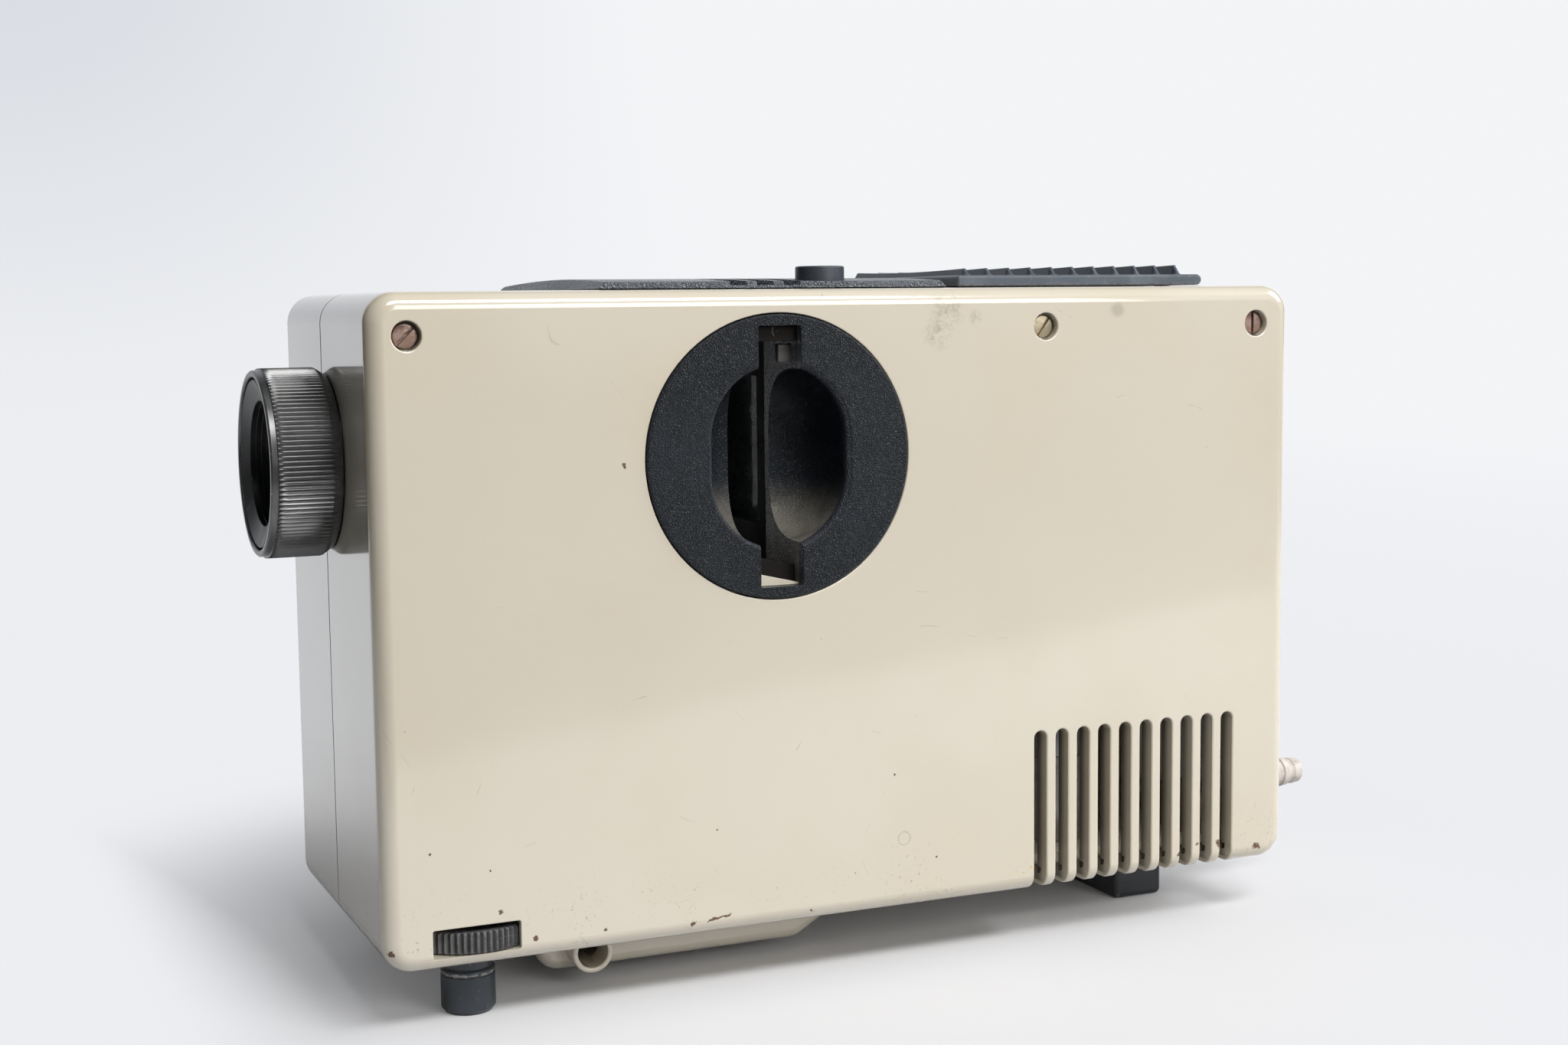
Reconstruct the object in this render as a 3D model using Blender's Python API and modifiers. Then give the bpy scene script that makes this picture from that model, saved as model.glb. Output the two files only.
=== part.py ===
# Slide projector: two painted half shells round an optical bench, with a round slot
# plate for the slide changer, a focusing lens, screw feet and a hinged lamp cover.
# X runs from the lens to the rear, Y from the changer side to the far side, Z up.
# Every length is in metres. Places are measured from the front face, the changer
# side and the underside of the housing.

import math

import bmesh
import bpy

# Housing: two half shells that meet at a seam
body_length = 0.240
body_width = 0.090
body_height = 0.150
wall = 0.003
outline_radius = 0.007
edge_radius = 0.004
seam_from_near = 0.047
seam_gap = 0.0003
fit_gap = 0.0003
cut_overrun = 0.001
weld_distance = 0.000001
least_fillet = 0.0004
corner_steps = 4
edge_steps = 3

# Bulge under the housing that holds the transformer
bulge_front = 0.041
bulge_rear = 0.126
bulge_inset = 0.021
bulge_depth = 0.0106
bulge_front_run = 0.0062
bulge_rear_run = 0.0175
bulge_wall = 0.002
bulge_edge_radius = 0.0025

# Optics: one axis for lens, slide, condensers, lamp and reflector
optic_drop = 0.0388
optic_height = body_height - optic_drop
gate_from_front = 0.0959

# Round slot plate, one on each side
plate_radius = 0.033
plate_proud = 0.0006
plate_bevel = 0.0006
plate_flange_extra = 0.0025
plate_flange_thickness = 0.002
plate_steps = 48
slot_half_width = 0.00533
slot_half_height = 0.0303
recess_half_width = 0.0170
recess_half_height = 0.0212
recess_depth_share = 0.2167
recess_depth = recess_depth_share * body_width
recess_wall = 0.002
recess_steps = 8
bowl_rings = 5
bowl_power = 3
bowl_turn_share = 0.9

# Slide gate between the two slot plates
gate_wall = 0.002
gate_clearance = 0.0003
gate_aperture = 0.036
gate_leg_length = 0.008
gate_leg_inset = 0.0005

# Chassis plate below the optics
chassis_drop = 0.0392
chassis_top = optic_height - chassis_drop
chassis_thickness = 0.002
ledge_length = 0.040
ledge_depth = 0.004
ledge_thickness = 0.0025
ledge_from_end = 0.018
air_slot_width = 0.006
air_slot_length = 0.026
air_slot_pitch = 0.012
air_slot_count = 4

# Lens and its focusing ring
ring_radius = 0.0219
ring_reach = 0.0166
ring_front_bevel = 0.0008
ring_rear_bevel_run = 0.0019
ring_rear_radius = 0.0205
ring_lip = 0.0005
barrel_radius = 0.0194
barrel_front_set = 0.0004
barrel_length = 0.068
barrel_bore = 0.0135
mouth_bore = 0.0182
mouth_depth = 0.008
retainer_front_radius = 0.0174
retainer_rear_radius = 0.0140
glass_radius = 0.0155
glass_thickness = 0.0048
glass_bulge = 0.0022
rear_glass_thickness = 0.005
rear_glass_bulge = 0.0015
front_hole_clearance = 0.0006
mount_wall = 0.0013
mount_length = 0.034
mount_flange_radius = 0.0230
mount_flange_thickness = 0.0022
lens_steps = 36
inner_steps = 24
hole_steps = 16
pin_steps = 12
glass_rings = 4

# Condensers, heat filter, lamp and reflector
condenser_front = 0.106
condenser_tube_length = 0.032
condenser_radius = 0.0225
condenser_wall = 0.0016
condenser_thickness = 0.009
condenser_rim = 0.002
condenser_inset = 0.0025
saddle_width = 0.024
saddle_inset = 0.003
filter_front = 0.142
filter_thickness = 0.003
filter_width = 0.048
filter_height = 0.056
filter_groove = 0.004
holder_thickness = 0.009
holder_height = 0.010
lamp_from_front = 0.180
lamp_bulb_radius = 0.013
lamp_top_over_axis = 0.020
lamp_neck_radius = 0.007
lamp_base_radius = 0.008
lamp_base_length = 0.014
dome_rings = 4
socket_wall = 0.0035
socket_height = 0.016
socket_floor = 0.005
reflector_front = 0.200
reflector_radius = 0.021
reflector_depth = 0.007
reflector_thickness = 0.0015
reflector_stand_width = 0.016
reflector_stand_thickness = 0.005
reflector_rings = 4
stand_top_share = 0.76

# Heat shields beside the lamp
shield_front = 0.152
shield_rear = 0.221
shield_from_side = 0.0097
shield_thickness = 0.0012
shield_foot = 0.008
shield_top_clearance = 0.004
shield_bush_radius = 0.0034
shield_bush_length = 0.005

# Fan under the lamp
fan_from_front = 0.193
motor_radius = 0.016
motor_height_share = 0.44
motor_base_share = 0.46
stand_wall = 0.0035
impeller_radius = 0.025
impeller_hub_radius = 0.008
impeller_height = 0.013
impeller_plate = 0.0015
impeller_drop = 0.019
blade_thickness = 0.0015
blade_count = 8
shaft_radius = 0.0015
shaft_insert_share = 0.5

# Transformer in the bulge
transformer_from_front = 0.083
core_width = 0.044
core_height = 0.046
core_thickness = 0.022
core_limb = 0.007
coil_clearance = 0.0003
coil_reach = 0.007

# Housing screws with slotted cheese heads
screw_head_radius = 0.00275
screw_head_height = 0.0024
screw_head_sink = 0.0015
screw_shank_radius = 0.0015
screw_slot_width = 0.0007
screw_slot_depth = 0.0009
screw_recess_radius = 0.0033
screw_drop = 0.0096
screw_front = 0.00876
screw_middle = 0.1671
screw_rear = 0.2291
screw_long_shank = 0.054
screw_short_shank = 0.010
pillar_radius = 0.0044
screw_steps = 20
screw_slot_degrees = (-45, -52, 90)
tube_slot_degrees = 30

# Tube under the housing with the fourth screw
tube_from_front = 0.0531
tube_drop = 0.0053
tube_radius = 0.005
tube_bore = 0.0037
tube_face = 0.0155
tube_seat = 0.031
tube_shank = 0.027

# Air vents low on both sides, towards the rear
vent_count = 10
vent_pitch = 0.00618
vent_first = 0.16575
vent_width = 0.0035
vent_top = 0.04025
vent_reach = 0.016
vent_steps = 4

# Height wheels and screw feet
foot_drop = 0.014
foot_from_front = 0.0224
foot_from_side = 0.0146
foot_radius = 0.00625
foot_edge = 0.0008
foot_shoulder = 0.0046
foot_neck_radius = 0.0056
foot_neck_clearance = 0.0004
foot_neck_set = 0.0003
stem_radius = 0.003
stem_top = 0.040
wheel_radius = 0.01528
wheel_thickness = 0.0048
wheel_rib_depth = 0.0004
wheel_rib_count = 66
wheel_clearance = 0.0004
wheel_relief_steps = 36
window_front = 0.0109
window_rear = 0.0310
window_low_set = 0.0001
window_high = 0.0094
guide_width = 0.012
guide_thickness = 0.002
guide_clearance = 0.0005
guide_tower_radius = 0.0055
guide_tower_height = 0.0135
rear_foot_front = 0.2043
rear_foot_length = 0.0148
rear_foot_inset = 0.026
rear_foot_edge = 0.0018

# Grained plates on top, one to each shell
top_front = 0.054
top_rear = 0.1425
top_inset = 0.0055
top_edge_height = 0.0012
top_edge_bevel = 0.0006
top_edge_rise = 0.0003
top_crown = 0.0011
top_lean_share = 1.0
groove_first = 0.0882
groove_pitch = 0.0068
groove_width = 0.0043
groove_count = 3
groove_floor = 0.0006
groove_end_inset = 0.007
crown_steps = 4

# Push switch
button_from_front = 0.1121
button_from_side = 0.0125
button_radius = 0.00585
button_clearance = 0.0003
button_top = 0.0054
button_skirt = 0.0025
button_bevel = 0.0006
button_travel = 0.002
button_stem_radius = 0.002
button_stem_length = 0.006
switch_length = 0.0165
switch_width = 0.013
switch_height = 0.0095

# Lamp cover, hinged at its rear end
cover_front = 0.147
cover_rear = 0.218
cover_inset = 0.008
cover_rim_height = 0.0027
cover_edge = 0.0006
cover_skin = 0.0012
cover_wall = 0.003
louvre_count = 10
louvre_land = 0.00018
rib_front_inset = 0.0048
rib_rear_inset = 0.0022
rib_foot = 0.0024
rib_tip = 0.0007
rib_lean = 0.00055
rib_height = 0.0018
rib_rise = 0.0007
rib_dish = 0.00045
rib_dish_steps = 4
rib_inset = 0.0129
rib_end_run = 0.0022
rib_sink = 0.0005
hinge_pin_radius = 0.0006
hinge_pin_clearance = 0.0002
notch_clearance = 0.001
ear_width = 0.004
ear_inset = 0.022
ear_gap = 0.0005
ear_half = 0.0013
pin_inset = 0.012

# Opening in the roof for the lamp and its hot air
roof_front = 0.152
roof_rear = 0.212
roof_inset = 0.014

# Cord gland in the rear wall and the terminals behind it
gland_from_side = 0.024
gland_height = 0.0164
gland_reach = 0.022
gland_flange_radius = 0.0062
gland_flange_thickness = 0.0018
gland_root_radius = 0.0053
gland_tip_radius = 0.0040
gland_neck_radius = 0.0040
gland_nut_radius = 0.0060
gland_nut_thickness = 0.003
gland_rib_count = 4
gland_rib_shares = (0.15, 0.60, 0.75, 1.0)
gland_rib_depth = 0.0005
terminal_length = 0.010
terminal_width = 0.020
terminal_height = 0.012
terminal_from_rear = 0.017

half_turn = math.pi
quarter_turn = math.pi / 2
middle = body_width / 2
floor_level = -foot_drop
near_depth = seam_from_near - seam_gap / 2
far_depth = body_width - seam_from_near - seam_gap / 2

finishes = {
    "cream_paint": ((0.70, 0.64, 0.50), 0.30, 0.0),
    "black_grain": ((0.018, 0.022, 0.028), 0.45, 0.0),
    "dark_plastic": ((0.050, 0.058, 0.070), 0.50, 0.0),
    "black_anodised": ((0.010, 0.010, 0.012), 0.35, 0.3),
    "clear_glass": ((0.75, 0.80, 0.85), 0.05, 0.0),
    "bare_steel": ((0.45, 0.43, 0.40), 0.35, 1.0),
    "copper": ((0.55, 0.25, 0.12), 0.40, 1.0),
    "pale_rubber": ((0.62, 0.60, 0.57), 0.60, 0.0),
    "brown_board": ((0.16, 0.08, 0.04), 0.60, 0.0),
}


def clear_scene():
    for item in list(bpy.data.objects):
        bpy.data.objects.remove(item, do_unlink=True)


def new_collection(name):
    group = bpy.data.collections.new(name)
    bpy.context.scene.collection.children.link(group)
    return group


clear_scene()
parts = new_collection("slide_projector")
cutters = new_collection("cutters")

# The datum carries the whole object: the box of the object is centred on it in X and
# Y, and the feet stand on Z = 0.
datum = bpy.data.objects.new("datum", None)
parts.objects.link(datum)
datum.location = (-(body_length + gland_reach - ring_reach) / 2, -middle, foot_drop)


def paint(item, finish):
    colour, roughness, metallic = finishes[finish]
    coat = bpy.data.materials.new(item.name + "_finish")
    coat.use_nodes = True
    shader = coat.node_tree.nodes["Principled BSDF"]
    shader.inputs["Base Color"].default_value = (*colour, 1)
    shader.inputs["Roughness"].default_value = roughness
    shader.inputs["Metallic"].default_value = metallic
    item.data.materials.clear()
    item.data.materials.append(coat)


def place(name, mesh, finish=None, at=(0, 0, 0), turn=(0, 0, 0)):
    """A piece with a finish goes with the parts, one without is a cutter or guide."""
    item = bpy.data.objects.new(name, mesh)
    (parts if finish else cutters).objects.link(item)
    item.parent = datum
    item.location = at
    item.rotation_euler = turn
    if finish:
        paint(item, finish)
    else:
        item.hide_render = True
        item.display_type = "WIRE"
    return item


def combine(item, other, operation):
    step = item.modifiers.new(operation.lower(), "BOOLEAN")
    step.operation = operation
    step.solver = "EXACT"
    step.object = other


def cut(item, other):
    combine(item, other, "DIFFERENCE")


def join(item, other):
    combine(item, other, "UNION")


def finish_mesh(shape, name="shape"):
    mesh = bpy.data.meshes.new(name)
    shape.to_mesh(mesh)
    shape.free()
    return mesh


def block_mesh(size):
    shape = bmesh.new()
    bmesh.ops.create_cube(shape, size=1)
    bmesh.ops.scale(shape, vec=size, verts=shape.verts)
    return finish_mesh(shape)


def block(name, low, high, finish=None):
    size = [b - a for a, b in zip(low, high)]
    centre = [(a + b) / 2 for a, b in zip(low, high)]
    return place(name, block_mesh(size), finish, centre)


def blocks_mesh(spans):
    """Several separate blocks in one mesh, from their low and high corners."""
    shape = bmesh.new()
    for low, high in spans:
        made = bmesh.ops.create_cube(shape, size=1)["verts"]
        bmesh.ops.scale(shape, vec=[b - a for a, b in zip(low, high)], verts=made)
        bmesh.ops.translate(shape, vec=[(a + b) / 2 for a, b in zip(low, high)], verts=made)
    return finish_mesh(shape)


def profile_mesh(points, closed):
    """The half section of a turned piece: (radius, height) points down its outside."""
    shape = bmesh.new()
    corners = [shape.verts.new((radius, 0, height)) for radius, height in points]
    for first, second in zip(corners, corners[1:]):
        shape.edges.new((first, second))
    if closed:
        shape.edges.new((corners[-1], corners[0]))
    return finish_mesh(shape)


def turned(name, points, finish=None, at=(0, 0, 0), turn=(0, 0, 0), steps=inner_steps, closed=False):
    item = place(name, profile_mesh(points, closed), finish, at, turn)
    lathe = item.modifiers.new("lathe", "SCREW")
    lathe.axis = "Z"
    lathe.steps = steps
    lathe.render_steps = steps
    lathe.use_merge_vertices = True
    lathe.merge_threshold = weld_distance
    return item


def rod(name, radius, low, high, finish=None, at=(0, 0, 0), turn=(0, 0, 0), steps=inner_steps):
    shape = bmesh.new()
    bmesh.ops.create_cone(shape, cap_ends=True, segments=steps, radius1=radius,
                          radius2=radius, depth=high - low)
    bmesh.ops.translate(shape, vec=(0, 0, (low + high) / 2), verts=shape.verts)
    return place(name, finish_mesh(shape), finish, at, turn)


def tube(name, outer, inner, low, high, finish=None, at=(0, 0, 0), turn=(0, 0, 0), steps=inner_steps):
    points = [(inner, high), (outer, high), (outer, low), (inner, low)]
    return turned(name, points, finish, at, turn, steps, closed=True)


def arc(centre_x, centre_y, radius, start, end, steps):
    """Points on an arc, its angles in turns."""
    angles = [2 * math.pi * (start + (end - start) * k / steps) for k in range(steps + 1)]
    return [(centre_x + radius * math.cos(a), centre_y + radius * math.sin(a)) for a in angles]


def prism_mesh(outlines, thickness, centre=0):
    """A flat outline in X and Y with holes, extruded along Z about a centre."""
    curve = bpy.data.curves.new("outline", "CURVE")
    curve.dimensions = "2D"
    curve.fill_mode = "BOTH"
    curve.extrude = thickness / 2
    for outline in outlines:
        spline = curve.splines.new("POLY")
        spline.points.add(len(outline) - 1)
        for point, (x, y) in zip(spline.points, outline):
            point.co = (x, y, 0, 1)
        spline.use_cyclic_u = True
    guide = bpy.data.objects.new("outline", curve)
    bpy.context.scene.collection.objects.link(guide)
    view = bpy.context.evaluated_depsgraph_get()
    mesh = bpy.data.meshes.new_from_object(guide.evaluated_get(view))
    bpy.data.objects.remove(guide, do_unlink=True)
    shape = bmesh.new()
    shape.from_mesh(mesh)
    bmesh.ops.remove_doubles(shape, verts=shape.verts, dist=weld_distance)
    bmesh.ops.translate(shape, vec=(0, 0, centre), verts=shape.verts)
    bmesh.ops.recalc_face_normals(shape, faces=shape.faces)
    return finish_mesh(shape)


# Turns that carry a prism's or a turned piece's own Z axis to the housing's axes.
# An outline drawn in (x, z) and extruded along Y: its Z runs towards the near side.
along_y = (quarter_turn, 0, 0)
along_far_y = (-quarter_turn, 0, 0)
along_x = (0, quarter_turn, 0)
# An outline drawn in (y, z) and extruded along X.
along_length = (quarter_turn, 0, quarter_turn)


def rounded_half(length, depth, height, corner, edge):
    """A solid half housing: outer face at y = 0, its corners and outer rim rounded."""
    shape = bmesh.new()
    bmesh.ops.create_cube(shape, size=1)
    bmesh.ops.scale(shape, vec=(length, depth, height), verts=shape.verts)
    bmesh.ops.translate(shape, vec=(length / 2, depth / 2, height / 2), verts=shape.verts)
    runs = [e for e in shape.edges if abs(e.verts[0].co.y - e.verts[1].co.y) > depth / 2]
    bmesh.ops.bevel(shape, geom=runs, offset=corner, segments=corner_steps, profile=0.5,
                    affect="EDGES")
    rim = [e for e in shape.edges if all(abs(v.co.y) < weld_distance for v in e.verts)]
    bmesh.ops.bevel(shape, geom=rim, offset=edge, segments=edge_steps, profile=0.5,
                    affect="EDGES")
    return finish_mesh(shape)


def mirror_depth(mesh):
    """Turns a near shell's mesh into a far one: y runs the other way."""
    shape = bmesh.new()
    shape.from_mesh(mesh)
    bmesh.ops.scale(shape, vec=(1, -1, 1), verts=shape.verts)
    bmesh.ops.reverse_faces(shape, faces=shape.faces)
    return finish_mesh(shape)


def sided(mesh, near):
    return mesh if near else mirror_depth(mesh)


def bulge_outline(inset):
    """Side outline of the bulge in (x, z), drawn in by a wall thickness."""
    slant = math.hypot(bulge_rear_run, bulge_depth) / bulge_depth
    front = bulge_front + inset
    low = inset - bulge_depth
    rear = bulge_rear - inset * slant
    radius = max(bulge_front_run - inset, least_fillet)
    top = wall / 2 if inset == 0 else wall + cut_overrun
    spare = (top + bulge_depth - inset) / bulge_depth * bulge_rear_run
    toe = rear - bulge_rear_run * (bulge_depth - inset) / bulge_depth
    turn_in = arc(front + radius, low + radius, radius, 0.5, 0.75, corner_steps)
    return [(front, top)] + turn_in + [(toe, low), (toe + spare, top)]


def bulge_mesh(near, inset):
    depth = near_depth if near else far_depth
    start = bulge_inset + inset
    end = depth + (cut_overrun if inset else 0)
    mesh = prism_mesh([bulge_outline(inset)], end - start)
    shape = bmesh.new()
    shape.from_mesh(mesh)
    # The prism's Z becomes the depth from the side, and its Y the height.
    for vert in shape.verts:
        x, height, level = vert.co
        vert.co = (x, (start + end) / 2 - level, height)
    rim = [e for e in shape.edges
           if all(abs(v.co.y - start) < weld_distance for v in e.verts)
           and not all(v.co.z > 0 for v in e.verts)
           and e.calc_face_angle(0) > half_turn / 4]
    if not inset:
        bmesh.ops.bevel(shape, geom=rim, offset=bulge_edge_radius, segments=edge_steps,
                        profile=0.5, affect="EDGES")
    bmesh.ops.recalc_face_normals(shape, faces=shape.faces)
    return sided(finish_mesh(shape), near)


def vents_mesh(near):
    """Round-topped slots that run down the side and round under the housing."""
    radius = vent_width / 2
    low = -cut_overrun
    outlines = []
    for k in range(vent_count):
        x = vent_first + k * vent_pitch
        top = arc(x, vent_top - radius, radius, 0, 0.5, vent_steps)
        outlines.append(top + [(x - radius, low), (x + radius, low)])
    reach = vent_reach + cut_overrun
    mesh = prism_mesh(outlines, reach, -(vent_reach - cut_overrun) / 2)
    return mesh if near else mirrored_prism(mesh)


def mirrored_prism(mesh):
    shape = bmesh.new()
    shape.from_mesh(mesh)
    bmesh.ops.scale(shape, vec=(1, 1, -1), verts=shape.verts)
    bmesh.ops.reverse_faces(shape, faces=shape.faces)
    return finish_mesh(shape)


def side_y(near, distance):
    """A distance measured in from the near or the far side face."""
    return distance if near else body_width - distance


def span_y(near, start, end):
    low, high = sorted((side_y(near, start), side_y(near, end)))
    return low, high


def side_block(name, near, x, y, z, finish=None):
    """A block between two values of x, of distance in from its side, and of z."""
    low_y, high_y = span_y(near, *y)
    return block(name, (x[0], low_y, z[0]), (x[1], high_y, z[1]), finish)


def side_rod(name, near, radius, start, end, x, z, finish=None, steps=inner_steps):
    low_y, high_y = span_y(near, start, end)
    return rod(name, radius, -high_y, -low_y, finish, (x, 0, z), along_y, steps)


screw_places = ((screw_front, screw_long_shank), (screw_middle, screw_short_shank),
                (screw_rear, screw_long_shank))
seat_depth = screw_head_sink + screw_head_height + fit_gap
shank_hole = screw_shank_radius + fit_gap
screw_height = body_height - screw_drop
rib_first = cover_front + rib_front_inset
louvre_pitch = (cover_rear - rib_rear_inset - rib_foot - rib_first) / louvre_count
louvre_width = louvre_pitch - rib_foot - 2 * louvre_land
hinge_radius = cover_rim_height / 2
hinge_x = cover_rear - hinge_radius
hinge_z = body_height + fit_gap + hinge_radius


def add_pillars(shell, near, side):
    """Screw pillars along Y, with their holes, and the head recesses of the near one."""
    depth = near_depth if near else far_depth
    for number, (x, shank) in enumerate(screw_places):
        short = shank == screw_short_shank
        if short and not near:
            continue
        end = shield_from_side - fit_gap if short else depth - fit_gap
        join(shell, side_rod(f"{side}_pillar_{number}", near, pillar_radius, wall / 2, end,
                             x, screw_height, steps=hole_steps))
    join(shell, side_rod(f"{side}_tube", near, tube_radius,
                         tube_face if near else bulge_inset + bulge_wall / 2, depth - fit_gap,
                         tube_from_front, -tube_drop))
    for number, (x, shank) in enumerate(screw_places):
        if near:
            cut(shell, side_rod(f"{side}_head_{number}", near, screw_recess_radius,
                                -cut_overrun, seat_depth, x, screw_height))
            cut(shell, side_rod(f"{side}_hole_{number}", near, shank_hole,
                                seat_depth - cut_overrun, depth + cut_overrun, x, screw_height,
                                steps=hole_steps))
        elif shank == screw_long_shank:
            tip = screw_head_sink + screw_head_height + shank
            start = body_width - tip - cut_overrun
            cut(shell, side_rod(f"{side}_hole_{number}", near, shank_hole, start,
                                depth + cut_overrun, x, screw_height, steps=hole_steps))
    if near:
        cut(shell, side_rod("tube_bore", near, tube_bore, tube_face - cut_overrun, tube_seat,
                            tube_from_front, -tube_drop))
    tube_start = tube_seat - cut_overrun if near else (
        body_width - tube_seat - tube_shank - cut_overrun)
    cut(shell, side_rod(f"{side}_tube_hole", near, shank_hole, tube_start,
                        depth + cut_overrun, tube_from_front, -tube_drop, steps=hole_steps))


def add_shell(near):
    side = "near" if near else "far"
    depth = near_depth if near else far_depth
    at = (0, 0 if near else body_width, 0)
    shell = place(f"{side}_shell", sided(rounded_half(
        body_length, depth, body_height, outline_radius, edge_radius), near),
        "cream_paint", at)
    join(shell, place(f"{side}_bulge", bulge_mesh(near, 0), at=at))
    hollow = rounded_half(body_length - 2 * wall, depth - wall + cut_overrun,
                          body_height - 2 * wall, max(outline_radius - wall, least_fillet),
                          max(edge_radius - wall, least_fillet))
    inner_at = (wall, side_y(near, wall), wall)
    cut(shell, place(f"{side}_hollow", sided(hollow, near), at=inner_at))
    cut(shell, place(f"{side}_bulge_hollow", bulge_mesh(near, bulge_wall), at=at))
    for number, start in enumerate((ledge_from_end, body_length - ledge_from_end - ledge_length)):
        top = chassis_top - chassis_thickness - fit_gap
        join(shell, side_block(f"{side}_ledge_{number}", near, (start, start + ledge_length),
                               (wall / 2, wall + ledge_depth), (top - ledge_thickness, top)))
    join(shell, side_block(f"{side}_ear", near, (hinge_x - ear_half, hinge_x + ear_half),
                           (ear_inset, ear_inset + ear_width),
                           (body_height - wall / 2, hinge_z + ear_half)))
    add_pillars(shell, near, side)
    cut(shell, side_rod(f"{side}_plate_hole", near, plate_radius + fit_gap, -cut_overrun,
                        wall + cut_overrun, gate_from_front, optic_height, steps=plate_steps))
    cut(shell, side_block(f"{side}_window", near, (window_front, window_rear),
                          (-cut_overrun, max(wall, edge_radius) + cut_overrun),
                          (wall - window_low_set, window_high)))
    wheel_top = wall + fit_gap + wheel_thickness
    cut(shell, rod(f"{side}_wheel_relief", wheel_radius + wheel_clearance,
                   wall + fit_gap / 2, wheel_top + wheel_clearance, steps=wheel_relief_steps,
                   at=(foot_from_front, side_y(near, foot_from_side), 0)))
    cut(shell, rod(f"{side}_foot_hole", foot_neck_radius + foot_neck_clearance, -cut_overrun,
                   wall + cut_overrun, at=(foot_from_front, side_y(near, foot_from_side), 0)))
    cut(shell, place(f"{side}_vents", vents_mesh(near), at=(0, 0 if near else body_width, 0),
                     turn=along_y))
    cut(shell, rod(f"{side}_lens_hole", barrel_radius + front_hole_clearance, -cut_overrun,
                   wall + cut_overrun, at=(0, middle, optic_height), turn=along_x,
                   steps=lens_steps))
    cut(shell, side_block(f"{side}_roof", near, (roof_front, roof_rear),
                          (roof_inset, depth + cut_overrun),
                          (body_height - wall - cut_overrun, body_height + cut_overrun)))
    cut(shell, side_rod(f"{side}_pin_hole", near, hinge_pin_radius + hinge_pin_clearance,
                        pin_inset, middle, hinge_x, hinge_z, steps=pin_steps))
    if near:
        cut(shell, rod("button_hole", button_radius + button_clearance,
                       body_height - wall - cut_overrun, body_height + cut_overrun,
                       at=(button_from_front, button_from_side, 0)))
        cut(shell, rod("gland_hole", gland_neck_radius + fit_gap, -wall - cut_overrun,
                       cut_overrun, at=(body_length, gland_from_side, gland_height),
                       turn=along_x))


def stadium(half_width, half_height, steps):
    """Tall outline with fully rounded ends."""
    rise = half_height - half_width
    return (arc(0, rise, half_width, 0, 0.5, steps)
            + arc(0, -rise, half_width, 0.5, 1, steps))


def bowl_mesh(half_width, half_height, depth, mouth):
    """A stadium bowl from its mouth down to its floor: its wall turns in as a rounded
    square would. Depths run down from the side face."""
    rise = half_height - half_width
    rings = [(1, mouth)]
    for k in range(bowl_rings + 1):
        angle = bowl_turn_share * quarter_turn * k / bowl_rings
        level = depth * math.sin(angle) ** (2 / bowl_power)
        if level > mouth + cut_overrun / 2:
            rings.append((math.cos(angle) ** (2 / bowl_power), level))
    shape = bmesh.new()
    loops = []
    for share, level in rings:
        outline = stadium(half_width * share, rise + half_width * share, recess_steps)
        loops.append([shape.verts.new((x, y, -level)) for x, y in outline])
    for upper, lower in zip(loops, loops[1:]):
        for k in range(len(upper)):
            shape.faces.new((upper[k - 1], upper[k], lower[k], lower[k - 1]))
    shape.faces.new(loops[0])
    shape.faces.new(loops[-1])
    bmesh.ops.recalc_face_normals(shape, faces=shape.faces)
    return finish_mesh(shape)


def add_slot_plate(near):
    """Round plate let into the side wall, with a deep pocket for the fingers, and the
    slot, whose cheeks run in to the gate."""
    side = "near" if near else "far"
    at = (gate_from_front, 0 if near else body_width, optic_height)
    turn = along_y if near else along_far_y
    flange_face = -wall - fit_gap
    flange_radius = plate_radius + plate_flange_extra
    profile = [(0, plate_proud), (plate_radius - plate_bevel, plate_proud),
               (plate_radius, plate_proud - plate_bevel), (plate_radius, flange_face),
               (flange_radius, flange_face),
               (flange_radius, flange_face - plate_flange_thickness),
               (0, flange_face - plate_flange_thickness)]
    plate = turned(f"{side}_slot_plate", profile, "black_grain", at, turn, plate_steps)
    cup_depth = recess_depth + recess_wall
    cup = bowl_mesh(recess_half_width + recess_wall, recess_half_height + recess_wall,
                    cup_depth, wall)
    join(plate, place(f"{side}_cup", cup, at=at, turn=turn))
    cheeks = block_mesh((2 * (slot_half_width + recess_wall),
                         2 * (slot_half_height + recess_wall), cup_depth - wall))
    join(plate, place(f"{side}_cheeks", cheeks, turn=turn,
                      at=(gate_from_front, side_y(near, (cup_depth + wall) / 2),
                          optic_height)))
    pocket = bowl_mesh(recess_half_width, recess_half_height, recess_depth,
                       -plate_proud - cut_overrun)
    cut(plate, place(f"{side}_pocket", pocket, at=at, turn=turn))
    slot = block_mesh((2 * slot_half_width, 2 * slot_half_height,
                       2 * (cup_depth + cut_overrun)))
    cut(plate, place(f"{side}_slot", slot, at=at, turn=turn))


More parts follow.
